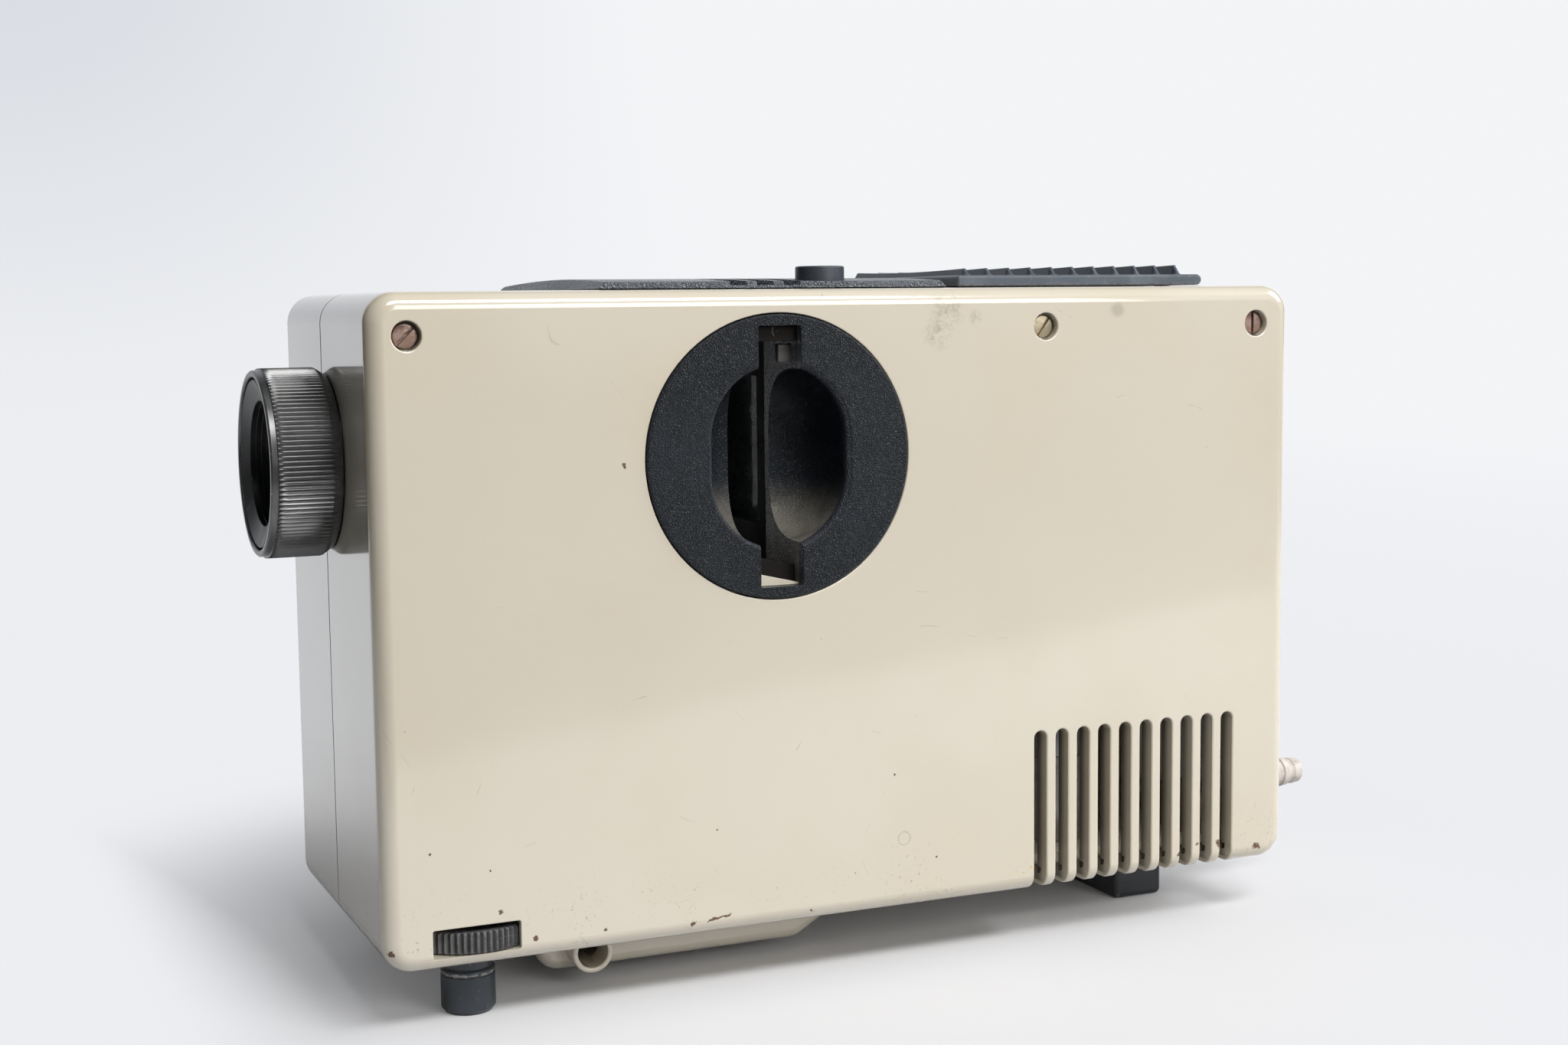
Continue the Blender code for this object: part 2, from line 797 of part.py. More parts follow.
def add_gate():
    """Channel for the slide changer, with a square window for the light on each side."""
    half_x = slot_half_width + gate_clearance
    half_z = slot_half_height + gate_clearance
    start = recess_depth + recess_wall + fit_gap
    end = body_width - start
    outer_x, outer_z = half_x + gate_wall, half_z + gate_wall
    gate = block("slide_gate", (gate_from_front - outer_x, start, optic_height - outer_z),
                 (gate_from_front + outer_x, end, optic_height + outer_z), "dark_plastic")
    for number, leg in enumerate((start + gate_leg_inset,
                                  end - gate_leg_inset - gate_leg_length)):
        join(gate, block(f"gate_leg_{number}",
                         (gate_from_front - half_x, leg, chassis_top + fit_gap),
                         (gate_from_front + half_x, leg + gate_leg_length,
                          optic_height - outer_z + gate_wall / 2)))
    cut(gate, block("gate_channel",
                    (gate_from_front - half_x, start - cut_overrun, optic_height - half_z),
                    (gate_from_front + half_x, end + cut_overrun, optic_height + half_z)))
    half_window = gate_aperture / 2
    cut(gate, block("gate_window",
                    (gate_from_front - outer_x - cut_overrun, middle - half_window,
                     optic_height - half_window),
                    (gate_from_front + outer_x + cut_overrun, middle + half_window,
                     optic_height + half_window)))


def add_lens():
    """Focusing ring, sliding barrel with its glasses, and the fixed sleeve."""
    at = (0, middle, optic_height)
    ring_bore = barrel_radius + fit_gap
    ring_profile = [(ring_rear_radius, -fit_gap),
                    (ring_radius, -fit_gap - ring_rear_bevel_run),
                    (ring_radius, -ring_reach + ring_front_bevel),
                    (ring_radius - ring_front_bevel, -ring_reach),
                    (ring_bore + ring_lip, -ring_reach),
                    (ring_bore, -ring_reach + ring_lip),
                    (ring_bore, -fit_gap)]
    turned("focus_ring", ring_profile, "black_anodised", at, along_x, lens_steps, closed=True)
    front = barrel_front_set - ring_reach
    rear = front + barrel_length
    seat = front + mouth_depth
    glass_end = seat + glass_thickness + fit_gap
    barrel_profile = [(barrel_radius, rear), (barrel_radius, front),
                      (mouth_bore, front), (mouth_bore, seat),
                      (glass_radius + fit_gap, seat), (glass_radius + fit_gap, glass_end),
                      (barrel_bore, glass_end), (barrel_bore, rear)]
    turned("lens_barrel", barrel_profile, "black_anodised", at, along_x, lens_steps, closed=True)
    retainer_radius = mouth_bore - fit_gap
    retainer_profile = [(retainer_radius, seat - fit_gap), (retainer_radius, front + ring_lip),
                        (retainer_front_radius, front + ring_lip),
                        (retainer_rear_radius, seat - fit_gap)]
    turned("lens_retainer", retainer_profile, "black_anodised", at, along_x, lens_steps,
           closed=True)
    add_glass("front_lens", glass_radius, seat + fit_gap / 2, glass_thickness, glass_bulge)
    add_glass("rear_lens", barrel_bore - fit_gap, rear - 2 * rear_glass_thickness,
              rear_glass_thickness, rear_glass_bulge)
    sleeve_bore = barrel_radius + fit_gap
    flange = wall + fit_gap
    sleeve_profile = [(sleeve_bore + mount_wall, flange + mount_length),
                      (sleeve_bore + mount_wall, flange + mount_flange_thickness),
                      (mount_flange_radius, flange + mount_flange_thickness),
                      (mount_flange_radius, flange),
                      (sleeve_bore, flange), (sleeve_bore, flange + mount_length)]
    turned("lens_sleeve", sleeve_profile, "bare_steel", at, along_x, lens_steps, closed=True)


def add_glass(name, radius, start, thickness, front_bulge, rear_bulge=0):
    """A lens on the optic axis: its rim from start, bulging forwards and rearwards."""
    shares = [k / glass_rings for k in range(glass_rings + 1)]
    rear = [(radius * s, start + thickness + rear_bulge * (1 - s ** 2)) for s in shares]
    front = [(radius * s, start - front_bulge * (1 - s ** 2)) for s in reversed(shares)]
    turned(name, rear + front, "clear_glass", (0, middle, optic_height), along_x, inner_steps)


def add_condensers():
    end = condenser_front + condenser_tube_length
    bore = condenser_radius + fit_gap
    outer = bore + condenser_wall
    at = (0, middle, optic_height)
    holder = rod("condenser_tube", outer, condenser_front, end, "bare_steel", at, along_x,
                 lens_steps)
    join(holder, block("saddle", (condenser_front + saddle_inset, middle - saddle_width / 2,
                                  chassis_top + fit_gap),
                       (end - saddle_inset, middle + saddle_width / 2, optic_height - bore)))
    cut(holder, rod("condenser_bore", bore, condenser_front - cut_overrun, end + cut_overrun,
                    at=at, turn=along_x, steps=lens_steps))
    first = condenser_front + condenser_inset
    swell = condenser_thickness - condenser_rim
    add_glass("front_condenser", condenser_radius, first, condenser_rim, 0, swell)
    add_glass("rear_condenser", condenser_radius, end - condenser_inset - condenser_rim,
              condenser_rim, swell)


def add_filter():
    """Heat filter glass standing in a grooved bar."""
    base = chassis_top + fit_gap
    front = filter_front - (holder_thickness - filter_thickness) / 2
    half = filter_width / 2
    holder = block("filter_holder", (front, middle - half, base),
                   (front + holder_thickness, middle + half, base + holder_height),
                   "bare_steel")
    low = base + holder_height - filter_groove
    cut(holder, block("filter_slot", (filter_front - fit_gap, middle - half - cut_overrun, low),
                      (filter_front + filter_thickness + fit_gap, middle + half + cut_overrun,
                       base + holder_height + cut_overrun)))
    block("heat_filter", (filter_front, middle - half, low + fit_gap),
          (filter_front + filter_thickness, middle + half, low + filter_height), "clear_glass")


def add_lamp():
    base = chassis_top + fit_gap
    at = (lamp_from_front, middle, 0)
    inner = lamp_base_radius + fit_gap
    top = base + socket_height
    socket = [(0, base + socket_floor), (inner, base + socket_floor), (inner, top),
              (inner + socket_wall, top), (inner + socket_wall, base), (0, base)]
    turned("lamp_socket", socket, "brown_board", at, steps=inner_steps)
    bottom = base + socket_floor + fit_gap
    neck = bottom + lamp_base_length
    belly = optic_height + lamp_top_over_axis - lamp_bulb_radius
    angles = [quarter_turn * k / dome_rings for k in range(dome_rings + 1)]
    dome = [(lamp_bulb_radius * math.sin(a), belly + lamp_bulb_radius * math.cos(a))
            for a in angles]
    low_belly = (neck + belly) / 2
    points = dome + [(lamp_bulb_radius, low_belly), (lamp_neck_radius, neck),
                     (lamp_base_radius, neck), (lamp_base_radius, bottom), (0, bottom)]
    turned("lamp", points, "clear_glass", at, steps=inner_steps)


def add_reflector():
    """Concave mirror behind the lamp, on a stand that meets its back."""
    deep = reflector_front + reflector_depth
    shares = [k / reflector_rings for k in range(reflector_rings + 1)]
    face = [(reflector_radius * s, deep - reflector_depth * s ** 2) for s in shares]
    back = [(radius, x + reflector_thickness) for radius, x in face]
    dish = turned("reflector", back + face[::-1], "bare_steel", (0, middle, optic_height),
                  along_x, inner_steps)
    half = reflector_stand_width / 2
    start = deep - reflector_depth * stand_top_share ** 2 + reflector_thickness / 4
    join(dish, block("reflector_stand", (start, middle - half, chassis_top + fit_gap),
                     (start + reflector_stand_thickness, middle + half,
                      optic_height - reflector_radius * stand_top_share)))


def add_shields():
    """Sheet metal walls beside the lamp, each with a foot bent inwards."""
    low = chassis_top + fit_gap
    top = body_height - wall - shield_top_clearance
    length = shield_rear - shield_front
    for near in (True, False):
        side = "near" if near else "far"
        outer = shield_from_side
        inner = outer + shield_thickness
        foot = inner + shield_foot
        outline = [(outer, low), (foot, low), (foot, low + shield_thickness),
                   (inner, low + shield_thickness), (inner, top), (outer, top)]
        if not near:
            outline = [(body_width - y, z) for y, z in outline]
        shield = place(f"{side}_heat_shield", prism_mesh([outline], length), "bare_steel",
                       ((shield_front + shield_rear) / 2, 0, 0), along_length)
        if near:
            join(shield, side_rod("shield_bush", True, shield_bush_radius,
                                  outer + shield_thickness / 2, inner + shield_bush_length,
                                  screw_middle, screw_height))
            cut(shield, side_rod("shield_hole", True, shank_hole, 0,
                                 inner + shield_bush_length + cut_overrun, screw_middle,
                                 screw_height, steps=hole_steps))


def add_chassis():
    side_gap = wall + fit_gap
    plate = block("chassis_plate", (side_gap, side_gap, chassis_top - chassis_thickness),
                  (body_length - side_gap, body_width - side_gap, chassis_top), "bare_steel")
    spans = []
    for k in range(air_slot_count):
        x = fan_from_front + (k - (air_slot_count - 1) / 2) * air_slot_pitch
        spans.append(((x - air_slot_width / 2, middle - air_slot_length / 2,
                       chassis_top - chassis_thickness - cut_overrun),
                      (x + air_slot_width / 2, middle + air_slot_length / 2,
                       chassis_top + cut_overrun)))
    cut(plate, place("air_slots", blocks_mesh(spans)))


def add_fan():
    at = (fan_from_front, middle, 0)
    low = wall + fit_gap
    impeller_base = chassis_top - impeller_drop
    room = impeller_base - wall
    motor_base = wall + motor_base_share * room
    top = motor_base + motor_height_share * room
    tube("motor_stand", motor_radius, motor_radius - stand_wall, low, motor_base - fit_gap,
         "bare_steel", at, steps=inner_steps)
    bore = shaft_radius + fit_gap
    shaft_low = top - shaft_insert_share * motor_height_share * room
    bore_floor = shaft_low - fit_gap
    motor = [(0, bore_floor), (bore, bore_floor), (bore, top), (motor_radius, top),
             (motor_radius, motor_base), (0, motor_base)]
    turned("fan_motor", motor, "bare_steel", at, steps=inner_steps)
    plate_top = impeller_base + impeller_plate
    profile = [(0, impeller_base + impeller_height), (impeller_hub_radius,
               impeller_base + impeller_height), (impeller_hub_radius, plate_top),
               (impeller_radius, plate_top), (impeller_radius, impeller_base),
               (shaft_radius, impeller_base), (shaft_radius, shaft_low), (0, shaft_low)]
    impeller = turned("fan_impeller", profile, "dark_plastic", at, steps=inner_steps)
    length = impeller_radius - impeller_hub_radius / 2 - blade_thickness
    for k in range(blade_count):
        angle = 2 * math.pi * k / blade_count
        reach = impeller_hub_radius / 2 + length / 2
        height = impeller_height - impeller_plate / 2
        blade = place(f"blade_{k}", block_mesh((length, blade_thickness, height)),
                      at=(fan_from_front + reach * math.cos(angle),
                          middle + reach * math.sin(angle),
                          impeller_base + impeller_plate / 2 + height / 2 - fit_gap),
                      turn=(0, 0, angle))
        join(impeller, blade)


def add_transformer():
    low = bulge_wall - bulge_depth + fit_gap
    x = transformer_from_front
    half = core_width / 2
    half_y = core_thickness / 2
    core = block("transformer_core", (x - half, middle - half_y, low),
                 (x + half, middle + half_y, low + core_height), "brown_board")
    window_low = low + core_limb
    window_high = low + core_height - core_limb
    windows = []
    for sign in (-1, 1):
        near_edge = x + sign * core_limb
        far_edge = x + sign * (half - core_limb)
        a, b = sorted((near_edge, far_edge))
        windows.append(((a, middle - half_y - cut_overrun, window_low),
                        (b, middle + half_y + cut_overrun, window_high)))
    cut(core, place("core_windows", blocks_mesh(windows)))
    reach_x = half - core_limb - coil_clearance
    reach_y = half_y + coil_reach
    coil = block("transformer_coil",
                 (x - reach_x, middle - reach_y, window_low + coil_clearance),
                 (x + reach_x, middle + reach_y, window_high - coil_clearance), "copper")
    limb = core_limb + coil_clearance
    cut(coil, block("coil_hole", (x - limb, middle - half_y - coil_clearance,
                                  window_low - cut_overrun),
                    (x + limb, middle + half_y + coil_clearance, window_high + cut_overrun)))


def evaluated(item):
    """The finished mesh of an object, in the datum's space."""
    bpy.context.view_layer.update()
    view = bpy.context.evaluated_depsgraph_get()
    mesh = bpy.data.meshes.new_from_object(item.evaluated_get(view))
    mesh.transform(item.matrix_basis)
    return mesh


def screw(name, x, z, sink, shank, angle):
    """Slotted cheese-head screw along Y, its head towards the near side."""
    seat = -sink - screw_head_height
    tip = seat - shank
    points = [(0, -sink), (screw_head_radius, -sink), (screw_head_radius, seat),
              (screw_shank_radius, seat), (screw_shank_radius, tip), (0, tip)]
    item = turned(name, points, "bare_steel", (x, 0, z), along_y, screw_steps)
    slot = block_mesh((2 * screw_head_radius + cut_overrun, screw_slot_width,
                       2 * screw_slot_depth))
    cut(item, place(f"{name}_slot", slot, at=(x, sink, z), turn=(quarter_turn, angle, 0)))


def add_screws():
    names = ("front_screw", "middle_screw", "rear_screw")
    for name, (x, shank), degrees in zip(names, screw_places, screw_slot_degrees):
        screw(name, x, screw_height, screw_head_sink, shank, math.radians(degrees))
    sink = tube_seat - fit_gap - screw_head_height
    screw("tube_screw", tube_from_front, -tube_drop, sink, tube_shank,
          math.radians(tube_slot_degrees))


def add_foot(near):
    """Screw foot, the ribbed wheel that drives it, and the bracket that guides its stem."""
    side = "near" if near else "far"
    x, y = foot_from_front, side_y(near, foot_from_side)
    neck_top = wall - foot_neck_set
    profile = [(0, stem_top), (stem_radius, stem_top), (stem_radius, neck_top),
               (foot_neck_radius, neck_top), (foot_neck_radius, -foot_shoulder + foot_edge),
               (foot_radius, -foot_shoulder), (foot_radius, floor_level + foot_edge),
               (foot_radius - foot_edge, floor_level), (0, floor_level)]
    turned(f"{side}_foot", profile, "dark_plastic", (x, y, 0))
    bore = stem_radius + fit_gap
    radii = (wheel_radius, wheel_radius - wheel_rib_depth)
    corners = 2 * wheel_rib_count
    rim = [(radii[k % 2] * math.cos(2 * math.pi * k / corners),
            radii[k % 2] * math.sin(2 * math.pi * k / corners)) for k in range(corners)]
    wheel_low = wall + fit_gap
    wheel = prism_mesh([rim, arc(0, 0, bore, 0, 1, inner_steps)[:-1]], wheel_thickness,
                       wheel_low + wheel_thickness / 2)
    place(f"{side}_height_wheel", wheel, "dark_plastic", (x, y, 0))
    shelf = wheel_low + wheel_thickness + guide_clearance
    leg = x + wheel_radius + guide_clearance
    front = wall + fit_gap
    outline = [(front, shelf), (leg, shelf), (leg, wheel_low),
               (leg + guide_thickness, wheel_low),
               (leg + guide_thickness, shelf + guide_thickness),
               (front, shelf + guide_thickness)]
    guide = place(f"{side}_foot_guide", prism_mesh([outline], guide_width), "bare_steel",
                  (0, y, 0), along_y)
    tower_top = shelf + guide_thickness + guide_tower_height
    join(guide, rod(f"{side}_tower", guide_tower_radius, shelf + guide_thickness / 2,
                    tower_top, at=(x, y, 0)))
    cut(guide, rod(f"{side}_stem_hole", bore, shelf - cut_overrun, tower_top + cut_overrun,
                   at=(x, y, 0)))


def add_rear_foot():
    foot = block("rear_foot", (rear_foot_front, rear_foot_inset, floor_level),
                 (rear_foot_front + rear_foot_length, body_width - rear_foot_inset, -fit_gap),
                 "dark_plastic")
    edge = foot.modifiers.new("edges", "BEVEL")
    edge.width = rear_foot_edge
    edge.segments = edge_steps


def crown(y, inset, rise):
    """Height of a crowned top over its edges: a parabola across the housing."""
    return rise * (1 - ((y - middle) / (middle - inset)) ** 2)


def add_top_plate(near):
    """Grained strip on the roof of one shell, crowned, with a leaning front end."""
    side = "near" if near else "far"
    depth = near_depth if near else far_depth
    base = body_height + fit_gap
    shoulder = base + top_edge_height + top_edge_rise
    first = top_inset + top_edge_bevel
    outline = [(depth, base), (top_inset, base), (top_inset, base + top_edge_height)]
    for k in range(crown_steps + 1):
        distance = first + (depth - first) * k / crown_steps
        outline.append((distance, shoulder + crown(side_y(near, distance), top_inset,
                                                   top_crown)))
    outline = [(side_y(near, distance), z) for distance, z in outline]
    length = top_rear - top_front
    mesh = prism_mesh([outline], length)
    for vert in mesh.vertices:
        lean = top_lean_share * (vert.co.y - base)
        vert.co.z += lean if vert.co.z < 0 else -lean
    plate = place(f"{side}_top_plate", mesh, "black_grain", ((top_front + top_rear) / 2, 0, 0),
                  along_length)
    if not near:
        return
    spans = []
    for k in range(groove_count):
        x = groove_first + k * groove_pitch
        spans.append(((x - groove_width / 2, top_inset - cut_overrun, base + groove_floor),
                      (x + groove_width / 2, depth - groove_end_inset,
                       shoulder + top_crown + cut_overrun)))
    cut(plate, place("grooves", blocks_mesh(spans)))
    cut(plate, rod("plate_button_hole", button_radius + button_clearance, base - cut_overrun,
                   shoulder + top_crown + cut_overrun,
                   at=(button_from_front, button_from_side, 0)))


def add_switch():
    """Push button in the roof and the switch below it, beside the slide gate."""
    skirt = body_height - button_skirt
    stem = skirt - button_stem_length
    top = body_height + button_top
    profile = [(0, top), (button_radius - button_bevel, top), (button_radius, top - button_bevel),
               (button_radius, skirt), (button_stem_radius, skirt), (button_stem_radius, stem),
               (0, stem)]
    turned("switch_button", profile, "dark_plastic", (button_from_front, button_from_side, 0))
    switch_top = skirt - button_travel - fit_gap
    front = gate_from_front + slot_half_width + gate_clearance + gate_wall + fit_gap
    start = wall + plate_flange_thickness + 2 * fit_gap
    switch = block("push_switch", (front, start, switch_top - switch_height),
                   (front + switch_length, start + switch_width, switch_top), "brown_board")
    cut(switch, rod("stem_hole", button_stem_radius + fit_gap, stem - button_travel - fit_gap,
                    switch_top + cut_overrun, at=(button_from_front, button_from_side, 0),
                    steps=hole_steps))


def cover_outline():
    """Side outline of the lamp cover in (x, z): front, top, round hinge end, underside."""
    base = body_height + fit_gap
    top = base + cover_rim_height
    turn_down = arc(hinge_x, hinge_z, hinge_radius, 1 / 4, -1 / 4, edge_steps)
    return [(cover_front, base), (cover_front, top - cover_edge),
            (cover_front + cover_edge, top)] + turn_down


def ribs_mesh():
    """Tapered ribs across the lamp cover, sunk a little into it. Their ends slope down,
    their tops dip in a parabola towards the middle, and they rise from rib to rib."""
    level = body_height + fit_gap + cover_rim_height
    first = rib_inset + rib_end_run
    spread = [first + (body_width - 2 * first) * k / rib_dish_steps
              for k in range(rib_dish_steps + 1)]
    shape = bmesh.new()
    for rib in range(louvre_count + 1):
        front = rib_first + rib * louvre_pitch
        height = rib_height + rib_rise * rib / louvre_count
        rows = [(rib_inset, 0, 0, rib_foot)]
        rows += [(y, height - crown(y, first, rib_dish), rib_lean, rib_tip) for y in spread]
        rows.append((body_width - rib_inset, 0, 0, rib_foot))
        loops = [[shape.verts.new(corner) for corner in
                  ((front, y, level - rib_sink), (front + rib_foot, y, level - rib_sink),
                   (front + lean + thickness, y, level + rise),
                   (front + lean, y, level + rise))]
                 for y, rise, lean, thickness in rows]
        for near_loop, far_loop in zip(loops, loops[1:]):
            for k in range(4):
                turn = (k + 1) % 4
                shape.faces.new((near_loop[k], near_loop[turn], far_loop[turn], far_loop[k]))
        shape.faces.new(loops[0])
        shape.faces.new(loops[-1])
    bmesh.ops.triangulate(shape, faces=shape.faces)
    bmesh.ops.recalc_face_normals(shape, faces=shape.faces)
    return finish_mesh(shape)


def add_cover():
    """Lamp cover with ribs across its top, slots between them and a hinge at its rear."""
    base = body_height + fit_gap
    top = base + cover_rim_height
    over = top + rib_height + rib_rise + cut_overrun
    draft = place("cover_draft",
                  prism_mesh([cover_outline()], body_width - 2 * cover_inset),
                  at=(0, middle, 0), turn=along_y)
    cut(draft, block("cover_hollow",
                     (cover_front + cover_wall, cover_inset + cover_wall,
                      base - cut_overrun),
                     (hinge_x - hinge_radius - cover_wall / 2,
                      body_width - cover_inset - cover_wall, top - cover_skin)))
    spans = []
    for k in range(louvre_count):
        x = rib_first + k * louvre_pitch + (louvre_pitch + rib_foot) / 2
        spans.append(((x - louvre_width / 2, rib_inset + rib_end_run, base - cut_overrun),
                      (x + louvre_width / 2, body_width - rib_inset - rib_end_run, over)))
    cut(draft, place("louvres", blocks_mesh(spans)))
    join(draft, place("ribs", ribs_mesh()))
    reach = math.hypot(ear_half, ear_half) + notch_clearance / 2
    for near in (True, False):
        cut(draft, side_block(f"ear_notch_{near}", near, (hinge_x - reach,
                                                          cover_rear + cut_overrun),
                              (ear_inset - ear_gap, ear_inset + ear_width + ear_gap),
                              (base - cut_overrun, over)))
    cut(draft, side_rod("cover_bore", True, hinge_pin_radius + hinge_pin_clearance,
                        pin_inset - fit_gap, body_width - pin_inset + fit_gap, hinge_x, hinge_z,
                        steps=pin_steps))
    shape = bmesh.new()
    shape.from_mesh(evaluated(draft))
    bmesh.ops.translate(shape, vec=(-hinge_x, 0, -hinge_z), verts=shape.verts)
    place("lamp_cover", finish_mesh(shape), "dark_plastic", (hinge_x, 0, hinge_z))
    bpy.data.objects.remove(draft, do_unlink=True)
    side_rod("hinge_pin", True, hinge_pin_radius, pin_inset, body_width - pin_inset, hinge_x,
             hinge_z, "bare_steel", steps=pin_steps)


def add_gland():
    """Ribbed cord gland through the rear wall, with its nut inside, and the terminals."""
    flange = fit_gap + gland_flange_thickness
    boot = gland_reach - flange
    points = [(0, gland_reach), (gland_tip_radius / 2, gland_reach)]
    for k in range(gland_rib_count):
        for share, depth in zip(gland_rib_shares, (0, 0, gland_rib_depth, gland_rib_depth)):
            run = (k + share) / gland_rib_count
            radius = gland_tip_radius + (gland_root_radius - gland_tip_radius) * run
            points.append((radius - depth, gland_reach - boot * run))
    inside = -wall - fit_gap
    points += [(gland_root_radius, flange), (gland_flange_radius, flange),
               (gland_flange_radius, fit_gap), (gland_neck_radius, fit_gap),
               (gland_neck_radius, inside), (gland_nut_radius, inside),
               (gland_nut_radius, inside - gland_nut_thickness),
               (0, inside - gland_nut_thickness)]
    turned("cord_gland", points, "pale_rubber", (body_length, gland_from_side, gland_height),
           along_x, hole_steps)
    front = body_length - terminal_from_rear
    low = wall + fit_gap
    block("terminal_block", (front, gland_from_side - terminal_width / 2, low),
          (front + terminal_length, gland_from_side + terminal_width / 2,
           low + terminal_height), "brown_board")


for near_side in (True, False):
    add_shell(near_side)
    add_slot_plate(near_side)
    add_top_plate(near_side)
    add_foot(near_side)
add_gate()
add_chassis()
add_lens()
add_condensers()
add_filter()
add_lamp()
add_reflector()
add_shields()
add_fan()
add_transformer()
add_screws()
add_rear_foot()
add_switch()
add_cover()
add_gland()
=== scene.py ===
# Looks for the slide projector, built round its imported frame. Lengths are millimetres
# from the housing's front face, changer side and underside until toRow() places them.

import math

import bmesh
import bpy
import numpy as np
from mathutils import Matrix, Vector


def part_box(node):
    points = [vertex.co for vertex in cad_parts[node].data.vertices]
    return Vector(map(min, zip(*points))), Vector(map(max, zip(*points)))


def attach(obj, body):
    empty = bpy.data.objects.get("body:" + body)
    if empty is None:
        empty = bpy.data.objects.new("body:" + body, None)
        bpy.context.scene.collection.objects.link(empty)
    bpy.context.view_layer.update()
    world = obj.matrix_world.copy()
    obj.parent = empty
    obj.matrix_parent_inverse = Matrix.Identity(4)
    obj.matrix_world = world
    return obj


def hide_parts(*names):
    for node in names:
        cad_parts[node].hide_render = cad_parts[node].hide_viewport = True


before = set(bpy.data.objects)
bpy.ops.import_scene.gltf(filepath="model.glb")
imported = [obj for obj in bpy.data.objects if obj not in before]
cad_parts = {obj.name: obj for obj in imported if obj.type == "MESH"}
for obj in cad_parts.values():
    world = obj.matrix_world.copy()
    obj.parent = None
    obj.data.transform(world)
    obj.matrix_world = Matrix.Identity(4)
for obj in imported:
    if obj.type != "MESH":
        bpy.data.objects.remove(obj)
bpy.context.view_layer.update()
print("frame loaded")

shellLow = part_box("near_shell")[0]
origin = np.array([shellLow.x, shellLow.y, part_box("near_top_plate")[0].z - 0.1503])

housing = {"length": 240.0, "width": 90.0, "height": 150.0, "wall": 3.0, "corner": 7.0,
           "rim": 4.0, "nearDepth": 46.85, "farDepth": 42.85, "seamEdge": 0.22,
           "axisHeight": 111.2, "middle": 45.0, "changerX": 95.9}


def toRow(points):
    return np.asarray(points, float) * 0.001 + origin


# Mesh helpers

def gridFaces(rows, cols, wrapRows=False, wrapCols=True):
    # Quads between neighbours of a grid whose points are numbered row by row
    i = np.arange(rows if wrapRows else rows - 1)
    j = np.arange(cols if wrapCols else cols - 1)
    a, b = np.meshgrid(i, j, indexing="ij")
    c, d = (a + 1) % rows, (b + 1) % cols
    quads = np.stack([a * cols + b, a * cols + d, c * cols + d, c * cols + b], -1)
    return quads.reshape(-1, 4).tolist()


def makeMesh(name, points, faces):
    # Points and faces into a mesh in the row's frame, doubles merged, faces outwards
    mesh = bpy.data.meshes.new(name)
    mesh.from_pydata(toRow(points).tolist(), [], faces)
    shape = bmesh.new()
    shape.from_mesh(mesh)
    bmesh.ops.remove_doubles(shape, verts=shape.verts, dist=0.000002)
    bmesh.ops.dissolve_degenerate(shape, edges=shape.edges, dist=0.0000005)
    bmesh.ops.recalc_face_normals(shape, faces=shape.faces)
    shape.to_mesh(mesh)
    shape.free()
    return mesh


def loftMesh(name, loops, caps=True, wrap=False):
    # Closed loops of equal count, carried one to the next, with a face over each end
    loops = np.asarray(loops, float)
    rows, cols = loops.shape[:2]
    faces = gridFaces(rows, cols, wrapRows=wrap)
    if caps and not wrap:
        faces += [list(range(cols)), list(range((rows - 1) * cols, rows * cols))]
    return makeMesh(name, loops.reshape(-1, 3), faces)


def softened(corners, radii, steps=6, inset=0.0, closed=True):
    # Each corner becomes an arc that touches both its edges: centre + radius (cos, sin),
    # from one edge's normal to the next one's. Inset first moves the edges inwards.
    p = np.asarray(corners, float)
    radius = np.broadcast_to(np.asarray(radii, float), len(p)).copy()
    after = np.roll(p, -1, 0) - p
    after /= np.linalg.norm(after, axis=1)[:, None]
    before = np.roll(after, 1, 0)
    cross = before[:, 0] * after[:, 1] - before[:, 1] * after[:, 0]
    turn = np.arctan2(cross, (before * after).sum(1))
    inward = np.stack([-after[:, 1], after[:, 0]], 1)
    shift = np.broadcast_to(np.asarray(inset, float), len(p))
    if shift.any():
        moved = p + inward * shift[:, None]
        last = np.roll(moved, 1, 0)
        gap = moved - last
        along = (gap[:, 0] * after[:, 1] - gap[:, 1] * after[:, 0]) / cross
        p = last + before * along[:, None]
        radius = np.maximum(radius - np.sign(turn) * shift.max(), 0.02)
    bisector = after - before
    bisector /= np.linalg.norm(bisector, axis=1)[:, None]
    centre = p + bisector * (radius / np.cos(turn / 2))[:, None]
    out = -bisector
    side = np.stack([-out[:, 1], out[:, 0]], 1)
    angle = np.linspace(-0.5, 0.5, steps + 1)[None, :] * turn[:, None]
    arcs = centre[:, None] + radius[:, None, None] * (
        np.cos(angle)[..., None] * out[:, None] + np.sin(angle)[..., None] * side[:, None])
    if closed:
        return arcs.reshape(-1, 2)
    return np.concatenate([p[:1], arcs[1:-1].reshape(-1, 2), p[-1:]])


def latheMesh(name, profile, axis, centre, steps=96, closed=False, ribs=None):
    # Profile rows of (radius, distance along the axis), swung once round it.
    # ribs, if given, turns (radius, along, angle) grids into the new radius.
    profile = np.asarray(profile, float)
    angle = np.linspace(0, 2 * np.pi, steps, endpoint=False)
    radius, turned = np.meshgrid(profile[:, 0], angle, indexing="ij")
    along = np.repeat(profile[:, 1:2], steps, 1)
    if ribs is not None:
        radius = ribs(radius, along, turned)
    spin = (radius * np.cos(turned), radius * np.sin(turned))
    order = {"x": (along, spin[0], spin[1]), "y": (spin[1], along, spin[0]),
             "z": (spin[0], spin[1], along)}[axis]
    points = np.stack(order, -1) + np.asarray(centre, float)
    return loftMesh(name, points, caps=False, wrap=closed)


